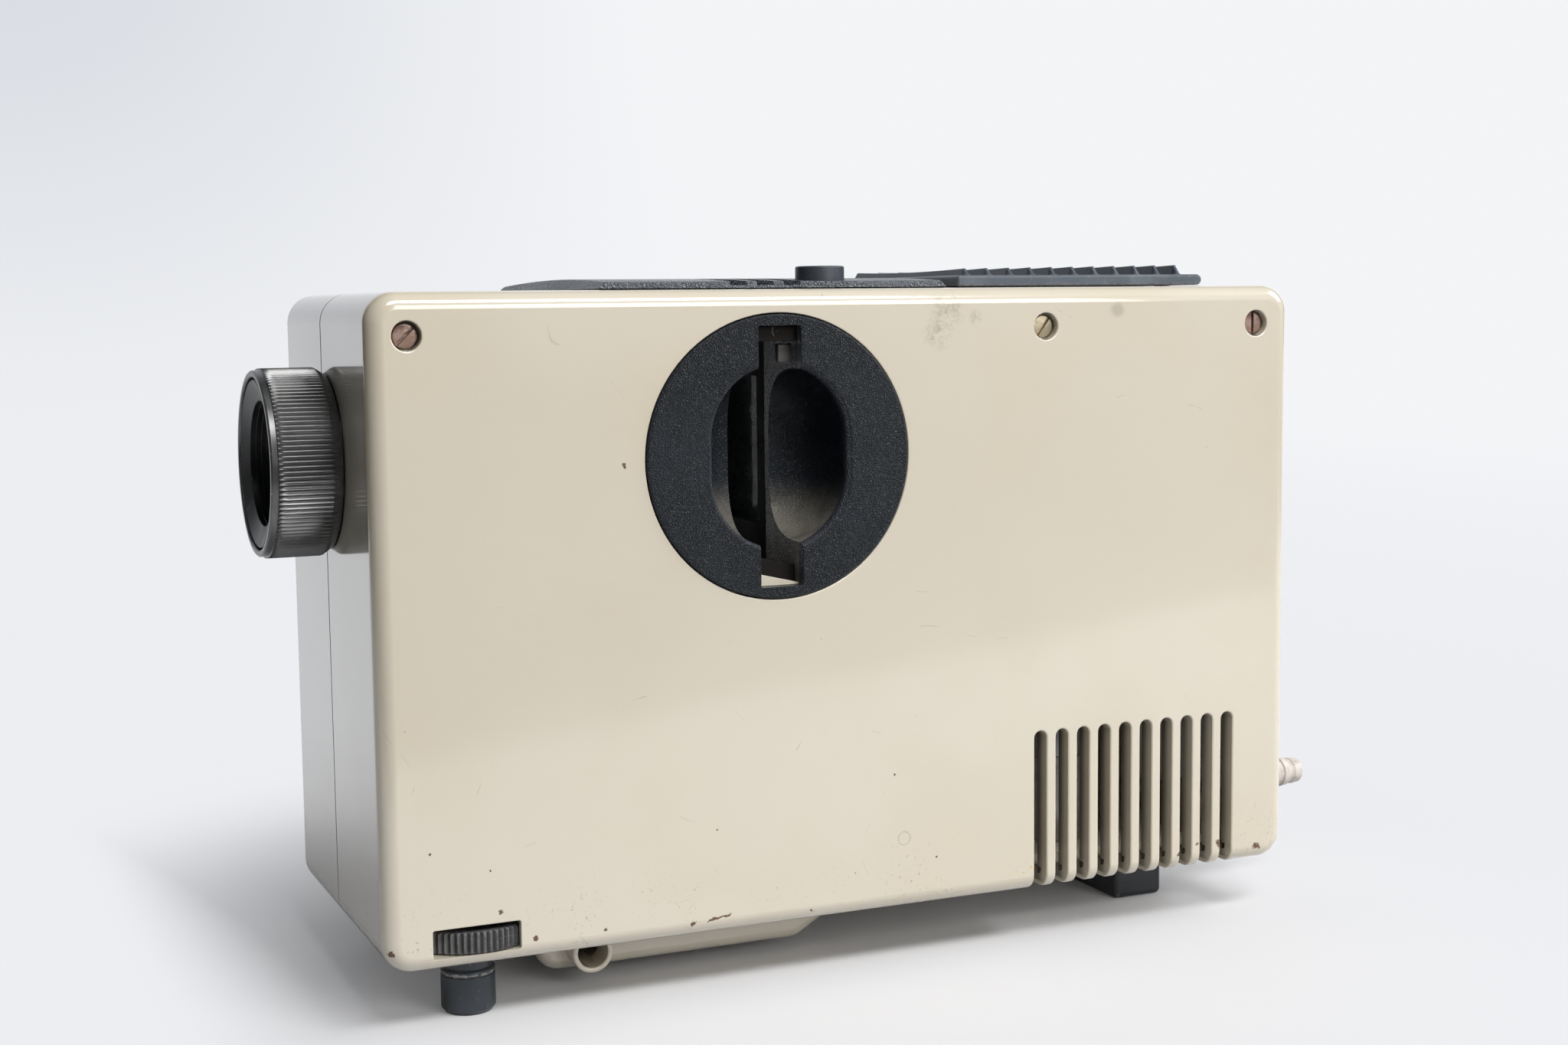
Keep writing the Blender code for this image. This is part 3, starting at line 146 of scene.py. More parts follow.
def withDepth(flat, depth):
    # A flat outline in X and Z, set at a depth
    return np.stack([flat[:, 0], np.full(len(flat), depth), flat[:, 1]], 1)


def carriedAcross(name, corners, radii, low, high, edge=0.3, steps=5):
    # A softened outline in X and Z carried along Y, drawn in at both ends on an arc
    turn = np.linspace(0, np.pi / 2, steps)
    inset, run = edge * (1 - np.sin(turn)), edge * (1 - np.cos(turn))
    stations = list(zip(inset, low + run)) + list(zip(inset[::-1], high - run[::-1]))
    return loftMesh(name, [withDepth(softened(corners, radii, steps, step), y)
                           for step, y in stations])


def roundedBlock(name, low, high, edge=1.0, corner=1.0, steps=5):
    corners = [(low[0], low[2]), (high[0], low[2]), (high[0], high[2]), (low[0], high[2])]
    return carriedAcross(name, corners, max(corner, edge) + 0.02, low[1], high[1], edge, steps)


def flipSide(points):
    # The same place measured from the far side
    points = np.array(points, float)
    points[..., 1] = housing["width"] - points[..., 1]
    return points


def objectOf(mesh, name):
    item = bpy.data.objects.new(name, mesh)
    bpy.context.scene.collection.objects.link(item)
    return item


def joined(name, meshes):
    shape = bmesh.new()
    for mesh in meshes:
        shape.from_mesh(mesh)
    mesh = bpy.data.meshes.new(name)
    shape.to_mesh(mesh)
    shape.free()
    return mesh


def carved(mesh, *steps):
    # Booleans in order: each step is ("UNION" or "DIFFERENCE", the other mesh)
    item = objectOf(mesh, "carving")
    others = []
    for operation, other in steps:
        tool = objectOf(other, "tool")
        others.append(tool)
        step = item.modifiers.new("step", "BOOLEAN")
        step.operation = operation
        step.solver = "EXACT"
        step.object = tool
    view = bpy.context.evaluated_depsgraph_get()
    made = bpy.data.meshes.new_from_object(item.evaluated_get(view))
    for thing in others + [item]:
        bpy.data.objects.remove(thing)
    shape = bmesh.new()
    shape.from_mesh(made)
    bmesh.ops.remove_doubles(shape, verts=shape.verts, dist=0.000004)
    bmesh.ops.dissolve_degenerate(shape, edges=shape.edges, dist=0.000002)
    shape.to_mesh(made)
    shape.free()
    return made


def piece(name, mesh, body, finish, replaces=(), sharp=32.0):
    # A shown piece: its finish, smooth shading up to an angle, its body, slot and nodes
    item = objectOf(mesh, name)
    mesh.name = name
    mesh.materials.clear()
    mesh.materials.append(finish)
    mesh.shade_smooth()
    mesh.set_sharp_from_angle(angle=math.radians(sharp))
    normals = item.modifiers.new("evenNormals", "WEIGHTED_NORMAL")
    normals.keep_sharp = True
    normals.weight = 80
    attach(item, body)
    if replaces:
        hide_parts(*replaces)
    return item


# Shader maths: a Wire stands for a socket, a Finish builds one material's nodes

class Wire:
    def __init__(self, finish, socket):
        self.finish = finish
        self.socket = socket

    def maths(self, operation, first, second=None):
        values = {0: first} if second is None else {0: first, 1: second}
        return self.finish.node("Math", values, operation=operation)

    def __add__(self, other):
        return self.maths("ADD", self, other)

    def __sub__(self, other):
        return self.maths("SUBTRACT", self, other)

    def __mul__(self, other):
        return self.maths("MULTIPLY", self, other)

    def __rsub__(self, other):
        return self.maths("SUBTRACT", other, self)

    __radd__ = __add__
    __rmul__ = __mul__

    def most(self, other):
        return self.maths("MAXIMUM", self, other)

    def size(self):
        return self.maths("ABSOLUTE", self)


class Finish:
    def __init__(self, name, holder=None):
        if holder is None:
            holder = bpy.data.materials.new(name)
            holder.use_nodes = True
        self.material = holder
        self.tree = holder.node_tree
        self.tree.nodes.clear()
        self.place = self.node("TexCoord", output="Object")

    def node(self, kind, values=None, output=0, **settings):
        made = self.tree.nodes.new("ShaderNode" + kind)
        for key, value in settings.items():
            setattr(made, key, value)
        for key, value in (values or {}).items():
            socket = made.inputs[key]
            if isinstance(value, Wire):
                self.tree.links.new(value.socket, socket)
            elif isinstance(value, tuple) and socket.type == "RGBA":
                socket.default_value = (*value, 1)
            else:
                socket.default_value = value
        return Wire(self, made.outputs[output])

    def noise(self, scale, detail=2.0, rough=0.5, vector=None, output=0, warp=0.0):
        return self.node("TexNoise", {"Vector": vector or self.place, "Scale": scale,
                                      "Detail": detail, "Roughness": rough,
                                      "Distortion": warp}, output)

    def cells(self, scale, feature="F1", vector=None, output=0):
        return self.node("TexVoronoi", {"Vector": vector or self.place, "Scale": scale},
                         output, feature=feature)

    def between(self, value, low, high, start=0.0, end=1.0):
        # start below low, end above high, smooth in between
        return self.node("MapRange", {"Value": value, "From Min": low, "From Max": high,
                                      "To Min": start, "To Max": end},
                         interpolation_type="SMOOTHSTEP")

    def mix(self, first, second, share):
        return self.node("Mix", {0: share, 6: first, 7: second}, 2, data_type="RGBA")

    def stretched(self, scale):
        return self.node("Mapping", {"Vector": self.place, "Scale": scale})

    def axis(self, name):
        return self.node("SeparateXYZ", {0: self.place}, name)

    def away(self, where):
        # Distance in millimetres from a point of the object
        return self.node("VectorMath", {0: self.place, 1: tuple(toRow(where))}, "Value",
                         operation="DISTANCE") * 1000

    def scattered(self, scale, low, high, rarity):
        # Round specks in cells, of which only a share is kept
        keep = self.node("SeparateColor", {0: self.cells(scale, output="Color")}, "Red")
        return self.between(self.cells(scale), low, high, 1.0, 0.0) * self.between(
            keep, rarity, rarity + 0.02)

    def bump(self, height, distance, strength=1.0):
        return self.node("Bump", {"Height": height, "Distance": distance,
                                  "Strength": strength}, "Normal")

    def done(self, colour, roughness, metallic=0.0, normal=None, **fixed):
        # fixed takes the shader's own socket names, or these short words for them
        short = {"ior": "IOR", "coat": "Coat Weight", "coatRough": "Coat Roughness",
                 "shine": "Specular IOR Level"}
        values = {"Base Color": colour, "Roughness": roughness, "Metallic": metallic}
        if normal is not None:
            values["Normal"] = normal
        values.update({short.get(key, key): value for key, value in fixed.items()})
        return self.shown(self.node("BsdfPrincipled", values))

    def shown(self, shader, kind="Material"):
        end = self.tree.nodes.new("ShaderNodeOutput" + kind)
        self.tree.links.new(shader.socket, end.inputs["Surface"])
        return self.material


# paint tones; the yellowed one is both aged yellowing and painted shade on the front rims
paint = {"cream": (0.645, 0.594, 0.496), "warm": (0.618, 0.560, 0.448),
         "yellowedAndShaded": (0.56, 0.475, 0.325), "bare": (0.075, 0.055, 0.040),
         "rust": (0.19, 0.105, 0.060), "dirt": (0.17, 0.14, 0.10),
         "smudge": (0.33, 0.30, 0.235), "orange": (0.70, 0.40, 0.05)}
# where the paint is chipped on the changer side: place and reach
chips = [((26.4, 0, 12.0), 0.6), ((72.3, 0, 3.1), 0.6), ((50.8, 0, 4.6), 0.5),
         ((34.4, 0, 5.0), 0.7), ((230.8, 0, 3.8), 1.3), ((1.6, 0.8, 5.0), 0.8),
         ((57.5, 0, 110.9), 0.4), ((57.6, 0, 110.3), 0.35), ((78.8, 0, 24.9), 0.25),
         ((24.2, 0, 21.7), 0.35), ((125.1, 0, 33.3), 0.4), ((219.3, 0, 5.8), 1.0),
         ((206.7, 0, 4.2), 0.8), ((212.6, 0, 6.5), 0.6), ((136.3, 0, 11.9), 0.3),
         ((10.6, 0, 26.9), 0.3), ((102.7, 0, 2.5), 0.5), ((210.3, 0, 141.0), 0.25)]


def creamPaint():
    # Glossy enamel: slight orange peel, faint clouds, specks, hairlines, chips low down
    # x, y and height: metres along and across from the frame's middle, where the front
    # face is at -0.1227 and the side faces at 0.045, and millimetres over the underside
    f = Finish("creamEnamel")
    x, y, z = f.axis("X"), f.axis("Y"), f.axis("Z")
    height = (z - float(origin[2])) * 1000
    side = f.between(y, -0.0446, -0.0425, 1.0, 0.0)
    low = f.between(height, 3.0, 24.0, 1.0, 0.0)
    colour = f.mix(paint["cream"], paint["warm"], f.between(f.noise(14, 3, 0.55), 0.38, 0.74))
    # the rims are painted darker and yellower, most on the front corner rims: partly aged
    # yellowing where hands and dust reach, partly painted shade where the rims turn away from
    # the light
    rimYellowAndShade = f.between(y.size(), 0.0408, 0.0440, 1.0, 0.0) * f.between(y.size(), 0.0385, 0.041)
    colour = f.mix(colour, paint["yellowedAndShaded"], rimYellowAndShade * f.between(x, -0.1187, -0.115, 0.55, 0.1))
    # the vents' depths are painted darker towards their floors, a painted shade in the recesses;
    # the seam between the shells is dark with dirt
    ventShadeZone = f.between(x, 0.0395, 0.0400) * f.between(x, 0.1030, 0.1035, 1.0, 0.0)
    ventShadeZone = ventShadeZone * f.between(height, 0.8, 1.6) * f.between(height, 41.0, 42.0, 1.0, 0.0)
    deep = f.between(y.size(), 0.0404, 0.0440, 1.0, 0.0) * f.between(y.size(), 0.0380, 0.0384)
    colour = f.mix(colour, (0.105, 0.092, 0.070), ventShadeZone * deep * 0.85)
    seam = f.between((y - 0.002).size(), 0.00018, 0.00046, 1.0, 0.0)
    colour = f.mix(colour, paint["bare"], seam * 0.95)
    # dirt: sparse specks, and fine speckle in patches low down
    ragged = f.noise(640, 4, 0.7)
    patches = f.between(f.noise(55, 2), 0.46, 0.60) * low
    speckle = f.between(f.noise(950, 3, 0.7), 0.615, 0.68) * patches
    specks = f.scattered(240, 0.03, 0.075, 0.93)
    colour = f.mix(colour, paint["dirt"], specks * (0.35 + low * 0.4) + speckle * 0.5)
    # chips: noise that has to climb with the distance from each chip's middle
    marks = None
    for where, reach in chips:
        blot = f.between(ragged - f.away(where) * (0.22 / reach), 0.30, 0.335)
        marks = blot if marks is None else marks.most(blot)
    wander = f.noise(230, 3, 0.6) - 0.5
    crackLine = (height - 3.4 - (x * 1000 + 46.7) * 0.2 - wander * 4.2).size()
    crackRun = f.between(x, -0.0470, -0.0462) * f.between(x, -0.0412, -0.0404, 1.0, 0.0)
    marks = marks.most(f.between(crackLine, 0.14, 0.36, 1.0, 0.0) * crackRun * side)
    colour = f.mix(colour, f.mix(paint["bare"], paint["rust"], f.noise(700, 3)), marks)
    # speckled smudges beside the second screw, an oval one behind it, two orange dots
    greasy = f.between(f.noise(480, 6, 0.8), 0.42, 0.62)
    for where, reach in (((139.9, 0, 145.0), 6.0), ((137.2, 0, 139.0), 5.2),
                         ((147.5, 0, 142.8), 2.4)):
        colour = f.mix(colour, paint["smudge"], greasy * f.between(
            f.away(where), reach * 0.2, reach, 0.58, 0.0))
    colour = f.mix(colour, paint["smudge"], f.between(f.away((187.4, 0, 144.3)) + (
        f.noise(300, 3) - 0.5) * 2.0, 0.8, 2.4, 0.45, 0.0))
    for where, reach in (((162.8, 0, 6.1), 0.4), ((160.8, 0, 4.9), 0.3)):
        colour = f.mix(colour, paint["orange"], f.between(f.away(where), reach * 0.5, reach,
                                                          0.85, 0.0))
    ringMark = f.between((f.away((127.5, 0, 17.4)) - 1.6).size(), 0.10, 0.30, 1.0, 0.0)
    colour = f.mix(colour, paint["smudge"], ringMark * f.between(ragged, 0.3, 0.6) * 0.5)
    # hairline scratches: contour lines of a slow noise, kept in short runs
    hairs = f.between((f.noise(24, 1) - 0.5).size(), 0.0005, 0.0018, 1.0, 0.0)
    hairs = hairs * f.between(f.noise(140, 2), 0.60, 0.66)
    colour = f.mix(colour, paint["smudge"], hairs * 0.32)
    normal = f.bump(f.noise(170, 2) * 0.5 - marks * 2.4 - hairs * 0.3, 0.00002, 0.5)
    rough = f.between(f.noise(24, 3, 0.5), 0.30, 0.70, 0.17, 0.20) + marks * 0.4
    return f.done(colour, rough, marks * 0.2, normal, ior=1.5, coatRough=0.055,
                  coat=1.0 - marks.most(speckle * 0.5).most(seam) * 0.9)


def grain(name, colour, light, scale, depth, rough, shine, pocket=None, dust=0.25):
    # Moulded leather grain: rounded cells between creases, bright worn tops, dust specks.
    # pocket is the depth and heights of the bowl's lower part, painted lighter: settled dust,
    # and a painted highlight where light falls on its floor.
    f = Finish(name)
    shift = f.node("VectorMath", {0: f.noise(scale * 0.7, 2, output="Color"),
                                  "Scale": 0.6 / scale}, 0, operation="SCALE")
    warped = f.node("VectorMath", {0: f.place, 1: shift}, 0, operation="ADD")
    pebble = f.between(f.cells(scale, "DISTANCE_TO_EDGE", warped), 0.02, 0.34)
    clouds = f.noise(30, 4, 0.6)
    shade = f.mix(colour, light, f.between(clouds, 0.38, 0.70) * 0.45 + pebble * 0.25)
    shade = f.mix(shade, (0.24, 0.23, 0.21), f.scattered(420, 0.05, 0.13, 0.93) * dust)
    height = pebble + f.noise(scale * 2.6, 2) * 0.35
    roughness = f.between(clouds, 0.3, 0.7, rough - 0.05, rough + 0.08)
    if pocket:
        sunk = f.between(f.axis("Y").size(), pocket[0], pocket[0] + 0.0012, 1.0, 0.0)
        lip = f.between(f.axis("Y").size(), 0.0451, 0.0456, 1.0, 0.0) * (1.0 - sunk)
        # settled dust and a painted highlight on the bowl's floor
        dustAndPaintedLight = sunk * f.between((f.axis("Z") - float(origin[2])) * 1000, pocket[1],
                                   pocket[2], 1.0, 0.0)
        shade = f.mix(shade, (0.215, 0.200, 0.170), dustAndPaintedLight * f.between(
            f.noise(150, 4, 0.6), 0.25, 0.6, 0.4, 0.8))
        # the lip and the plate's outer rim are painted lighter: a painted highlight
        shade = f.mix(shade, (0.075, 0.078, 0.098), lip * 0.5)
        height = height * (1.0 - sunk * 0.6)
        roughness = roughness - sunk * 0.08 - lip * 0.08
    return f.done(shade, roughness, 0.0, f.bump(height, depth, 0.9), shine=shine)


def darkPlastic(name, colour, light, rough=0.42, wear=0.5, dirtLine=None, shine=0.5):
    # Moulded plastic: fine texture, dusty clouds, pale worn edges, hairline scratches
    f = Finish(name)
    clouds = f.noise(70, 4, 0.62)
    shade = f.mix(colour, light, f.between(clouds, 0.42, 0.72) * 0.6)
    convex = f.node("NewGeometry", output="Pointiness")
    edge = f.between(convex, 0.53, 0.59) * f.between(f.noise(900, 3, 0.6), 0.40, 0.60)
    shade = f.mix(shade, (0.30, 0.275, 0.235), edge * wear)
    hairs = f.between((f.noise(60, 1) - 0.5).size(), 0.001, 0.004, 1.0, 0.0)
    hairs = hairs * f.between(f.noise(130, 2), 0.56, 0.62)
    dusty = f.between(f.noise(1300, 2), 0.70, 0.76) * 0.3 + hairs * 0.4
    if dirtLine:
        level = (f.axis("Z") - float(origin[2])) * 1000 - dirtLine + f.noise(300, 2) * 0.8
        dusty = dusty.most(f.between(level.size(), 0.15, 0.55, 1.0, 0.0) * f.between(
            f.noise(700, 3), 0.42, 0.56) * 0.8)
    shade = f.mix(shade, (0.34, 0.33, 0.31), dusty)
    normal = f.bump(f.noise(1500, 2) + clouds * 0.3 - hairs * 0.3, 0.00002, 0.5)
    return f.done(shade, f.between(clouds, 0.35, 0.7, rough - 0.06, rough + 0.1), 0.0,
                  normal, shine=shine)


def anodised(name, colour, light, metallic, rough=0.30):
    # Anodised aluminium: fine turning marks, silver where edges have worn
    f = Finish(name)
    clouds = f.noise(110, 4, 0.6)
    convex = f.node("NewGeometry", output="Pointiness")
    worn = f.between(convex, 0.56, 0.66) * f.between(f.noise(1000, 3, 0.6), 0.44, 0.62)
    shade = f.mix(colour, light, f.between(clouds, 0.4, 0.7))
    shade = f.mix(shade, (0.46, 0.45, 0.43), worn * 0.5)
    turned = f.noise(60, 2, 0.5, f.stretched((60, 1, 1)))
    dusty = f.between(f.noise(1500, 2), 0.68, 0.75) * f.between(clouds, 0.45, 0.6)
    shade = f.mix(shade, (0.30, 0.30, 0.29), dusty * 0.35)
    return f.done(shade, f.between(clouds, 0.3, 0.7, rough, rough + 0.1), metallic,
                  f.bump(turned, 0.00001, 0.35))


def steel(name, colour=(0.46, 0.45, 0.43), rough=0.34, rust=0.25, stretch=(1, 1, 12)):
    # Brushed or plated steel with clouds of dull grey and rust speckle
    f = Finish(name)
    clouds = f.noise(90, 4, 0.65)
    lines = f.noise(160, 3, 0.6, f.stretched(stretch))
    shade = f.mix(colour, tuple(c * 0.62 for c in colour), f.between(clouds, 0.4, 0.7))
    spots = f.between(f.noise(520, 4, 0.7, warp=0.5), 0.60 - 0.16 * rust, 0.72 - 0.14 * rust)
    spread = min(1.0, rust * 1.3)
    ruddy = f.mix((0.20, 0.105, 0.075), (0.36, 0.235, 0.19), f.noise(1500, 3, 0.7))
    shade = f.mix(shade, ruddy, spots * spread)
    normal = f.bump(lines + spots * 0.8, 0.00003, 0.45)
    return f.done(shade, f.between(clouds, 0.3, 0.75, rough, rough + 0.16) + spots * 0.3,
                  1.0 - spots * 0.8 * spread, normal)


def lensGlass(name, tint, coat):
    # Dark coated glass: faint clouds of coating over a deep tint, a little dust
    f = Finish(name)
    shade = f.mix(tint, coat, f.between(f.noise(46, 2), 0.35, 0.7))
    dustDots = f.between(f.noise(1600, 2), 0.73, 0.78)
    return f.done(f.mix(shade, (0.30, 0.30, 0.31), dustDots * 0.25), 0.05 + dustDots * 0.2,
                  ior=1.62, coatRough=0.03, coat=0.6 - dustDots * 0.3)


def clearGlass(name, tint):
    # Thin clear glass: seen through except where it is dusty
    f = Finish(name)
    dust = f.between(f.noise(240, 4, 0.6), 0.40, 0.75)
    body = f.node("BsdfPrincipled", {"Base Color": f.mix(tint, (0.5, 0.5, 0.48), dust * 0.3),
                                     "Roughness": 0.03 + dust * 0.12, "IOR": 1.47})
    clear = f.node("BsdfTransparent", {"Color": (0.93, 0.95, 0.96)})
    return f.shown(f.node("MixShader", {0: 0.22 + dust * 0.20, 1: clear, 2: body}))


def board():
    # Brown phenolic board: mottled paper layers under a dull varnish
    f = Finish("brownBoard")
    mottled = f.noise(260, 5, 0.65)
    shade = f.mix((0.105, 0.048, 0.022), (0.21, 0.105, 0.050), f.between(mottled, 0.38, 0.68))
    normal = f.bump(mottled + f.noise(120, 2, 0.5, f.stretched((1, 1, 14))), 0.00004, 0.4)
    return f.done(shade, f.between(mottled, 0.3, 0.7, 0.42, 0.62), 0.0, normal)


def copper():
    # Varnished copper wire: each turn's own tone
    f = Finish("copperWinding")
    turns = f.noise(70, 3, 0.6, f.stretched((1, 1, 30)))
    shade = f.mix((0.40, 0.150, 0.060), (0.66, 0.30, 0.13), f.between(turns, 0.35, 0.7))
    normal = f.bump(f.noise(1400, 2), 0.00002, 0.3)
    return f.done(shade, f.between(turns, 0.3, 0.7, 0.25, 0.4), 0.75, normal)


def rubber():
    # Pale aged rubber: chalky bloom, brown grime in blots, fine pits
    f = Finish("paleRubber")
    bloom = f.noise(180, 4, 0.65)
    shade = f.mix((0.60, 0.555, 0.52), (0.45, 0.405, 0.37), f.between(bloom, 0.42, 0.72))
    shade = f.mix(shade, (0.22, 0.18, 0.16), f.between(f.noise(330, 4, 0.7), 0.55, 0.68) * 0.6)
    normal = f.bump(bloom * 0.4 - f.between(f.noise(1500, 2), 0.62, 0.72) * 0.5, 0.00005, 0.5)
    return f.done(shade, f.between(bloom, 0.3, 0.7, 0.52, 0.68), 0.0, normal)


cream = creamPaint()
discGrain = grain("discGrain", (0.0075, 0.0105, 0.0140), (0.019, 0.024, 0.031), 1750,
                  0.00024, 0.33, 0.24, (0.0428, 92.0, 106.0))
roofGrain = grain("roofGrain", (0.072, 0.084, 0.102), (0.150, 0.168, 0.195), 1250,
                  0.00030, 0.28, 0.6)
wheelDust = darkPlastic("wheelPlastic", (0.050, 0.053, 0.060), (0.115, 0.112, 0.108), 0.44, 1.0)
navy = darkPlastic("footPlastic", (0.022, 0.029, 0.038), (0.046, 0.056, 0.068), 0.38, 0.5, -4.3)
black = darkPlastic("blackPlastic", (0.016, 0.018, 0.022), (0.034, 0.037, 0.043), 0.42, 0.3)
brownish = darkPlastic("slotPlastic", (0.010, 0.0085, 0.0075), (0.014, 0.012, 0.010), 0.6, 0.0,
                       shine=0.1)
bracket = darkPlastic("slotBracket", (0.050, 0.046, 0.043), (0.085, 0.078, 0.072), 0.5, 0.0)
lid = darkPlastic("lidPlastic", (0.075, 0.092, 0.116), (0.165, 0.190, 0.225), 0.34, 0.3)
knob = darkPlastic("buttonPlastic", (0.030, 0.036, 0.046), (0.056, 0.065, 0.080), 0.36, 0.3)
gateBlack = darkPlastic("gatePlastic", (0.006, 0.006, 0.007), (0.010, 0.010, 0.010), 0.6, 0.0,
                        shine=0.1)
ringBlack = anodised("ringAnodised", (0.125, 0.128, 0.130), (0.190, 0.192, 0.192), 0.72, 0.28)
innerBlack = anodised("barrelAnodised", (0.009, 0.010, 0.011), (0.018, 0.019, 0.021), 0.3, 0.34)
chassisSteel = steel("chassisSteel", rust=0.12, stretch=(1, 12, 12))
sleeveSteel = steel("sleeveSteel", (0.40, 0.40, 0.41), 0.3, 0.05, (14, 1, 1))
mirrorSteel = steel("mirrorSteel", (0.86, 0.86, 0.85), 0.06, 0.0, (1, 1, 1))
rustyScrew = steel("rustyScrew", (0.36, 0.27, 0.235), 0.46, 1.0, (6, 6, 6))
brassScrew = steel("brassScrew", (0.44, 0.38, 0.27), 0.36, 0.35, (6, 6, 6))
frontGlass = lensGlass("coatedGlass", (0.006, 0.007, 0.010), (0.014, 0.011, 0.020))
bulbGlass = clearGlass("bulbGlass", (0.86, 0.88, 0.90))
innerGlass = clearGlass("opticGlass", (0.70, 0.80, 0.78))
brown = board()
winding = copper()
boot = rubber()
print("finishes made")


# Cutters for the shells: outlines carried inwards, with a mouth that flares on an arc

def flareSteps(flare, depth, lead=1.0):
    # (distance in, extra reach) from outside the surface to the full depth
    angle = np.linspace(0, np.pi / 2, 5)
    inside = flare * (1 - np.cos(angle))
    reach = flare * (1 - np.sin(angle))
    return [(-lead, flare)] + list(zip(inside, reach)) + [(depth, 0.0)]


def holeMesh(centre, across, up, inward, halfU, halfV, corner, depth, flare=0.35, steps=8):
    # A rounded rectangle of half sizes halfU and halfV, or a circle, cut inwards
    centre, across, up, inward = (np.asarray(v, float) for v in (centre, across, up, inward))
    loops = []
    for distance, reach in flareSteps(flare, depth):
        u, v = halfU + reach, halfV + reach
        flat = softened([(-u, -v), (u, -v), (u, v), (-u, v)],
                        min(corner + reach, min(u, v) - 0.001), steps)
        loops.append(centre + flat[:, :1] * across + flat[:, 1:] * up + distance * inward)
    return loftMesh("hole", loops)


def roundHole(centre, axis, radius, depth, flare=0.35, steps=12):
    inward = np.asarray(axis, float)
    across = np.roll(np.abs(inward), 1)
    return holeMesh(centre, across, np.cross(inward, across), inward, radius, radius, radius,
                    depth, flare, steps)


vents = {"count": 10, "first": 165.75, "pitch": 6.18, "half": 1.75, "top": 40.25,
         "reach": 16.0, "flare": 0.5, "depth": 6.6, "padDepth": 4.7, "padEnd": 226.5}


def ventMesh(x, near):
    # A stadium in (x, distance run), run down the side, round the rim and in under the
    # floor, then carried inwards: the path at depth n is the shell's outline drawn in by n
    r, rim = vents["half"], housing["rim"]
    sideRun, bend = vents["top"] - rim, rim * np.pi / 2
    run = sideRun + bend + vents["reach"] - rim
    quarter = np.linspace(0, np.pi / 2, 7)
    straight = np.concatenate([np.linspace(r, sideRun, 7)[1:],
                               np.linspace(sideRun, sideRun + bend, 12)[1:],
                               np.linspace(sideRun + bend, run - r, 4)[1:-1]])
    loops = []
    for depth, reach in flareSteps(vents["flare"], vents["depth"], 0.8):
        top = np.stack([(r + reach) * np.sin(quarter), r - (r + reach) * np.cos(quarter)], 1)
        low = np.stack([top[::-1, 0], run - top[::-1, 1]], 1)
        side = np.stack([np.full(len(straight), r + reach), straight], 1)
        right = np.concatenate([top, side, low])
        flat = np.concatenate([right, right[-2:0:-1] * (-1, 1)])
        s = flat[:, 1]
        rho = max(rim - depth, 0.05)
        corner = depth + rho
        along = np.minimum(s, sideRun)
        angle = np.clip((s - sideRun) / bend, 0, 1) * np.pi / 2
        under = np.maximum(s - sideRun - bend, 0) / (vents["reach"] - rim)
        y = corner - rho * np.cos(angle) + under * (vents["reach"] - corner)
        z = np.where(s < sideRun, vents["top"] - along * (vents["top"] - corner) / sideRun,
                     corner - rho * np.sin(angle))
        loops.append(np.stack([x + flat[:, 0], y, z], 1))
    loops = np.asarray(loops)
    if not near:
        loops = flipSide(loops)
    rows, cols = loops.shape[:2]
    half = cols // 2
    strip = np.arange(1, half - 1)
    cap = np.stack([strip, strip + 1, cols - strip - 1, cols - strip], 1)
    caps = cap.tolist() + [[0, 1, cols - 1], [half - 1, half, half + 1]]
    last = (rows - 1) * cols
    faces = gridFaces(rows, cols) + caps + [[k + last for k in face] for face in caps]
    return makeMesh("vent", loops.reshape(-1, 3), faces)


bulge = {"front": 41.0, "rear": 126.0, "rearRun": 17.5, "drop": 10.6, "inset": 21.0,
         "frontRadius": 6.2, "toeRadius": 6.0, "edge": 2.8, "wall": 2.0}


def bulgeMesh(near, inner=False):
    # The side outline of the bulge carried in from its near face, its rim rolled on an arc
    top = 4.0 if inner else 1.5
    spare = bulge["rearRun"] * (top / bulge["drop"])
    corners = [(bulge["front"], -bulge["drop"]), (bulge["rear"] - bulge["rearRun"],
               -bulge["drop"]), (bulge["rear"] + spare, top), (bulge["front"], top)]
    radii = (bulge["frontRadius"], bulge["toeRadius"], 0.02, 0.02)
    depth = housing["nearDepth"] if near else housing["farDepth"]
    wall = bulge["wall"] if inner else 0.0
    turn = np.linspace(0, np.pi / 2, 9)
    edge, seam = bulge["edge"], housing["seamEdge"]
    if inner:
        stations = [(wall, bulge["inset"] + wall), (wall, depth + 1.0)]
    else:
        stations = [(edge * (1 - math.sin(a)), bulge["inset"] + edge * (1 - math.cos(a)))
                    for a in turn]
        stations += [(seam * (1 - math.cos(a)), depth - seam * (1 - math.sin(a)))
                     for a in turn[::2]]
    loops = np.asarray([withDepth(softened(corners, radii, 10, np.array([1, 1, 0, 1]) * inset),
                                  y) for inset, y in stations])
    return loftMesh("bulge", loops if near else flipSide(loops))


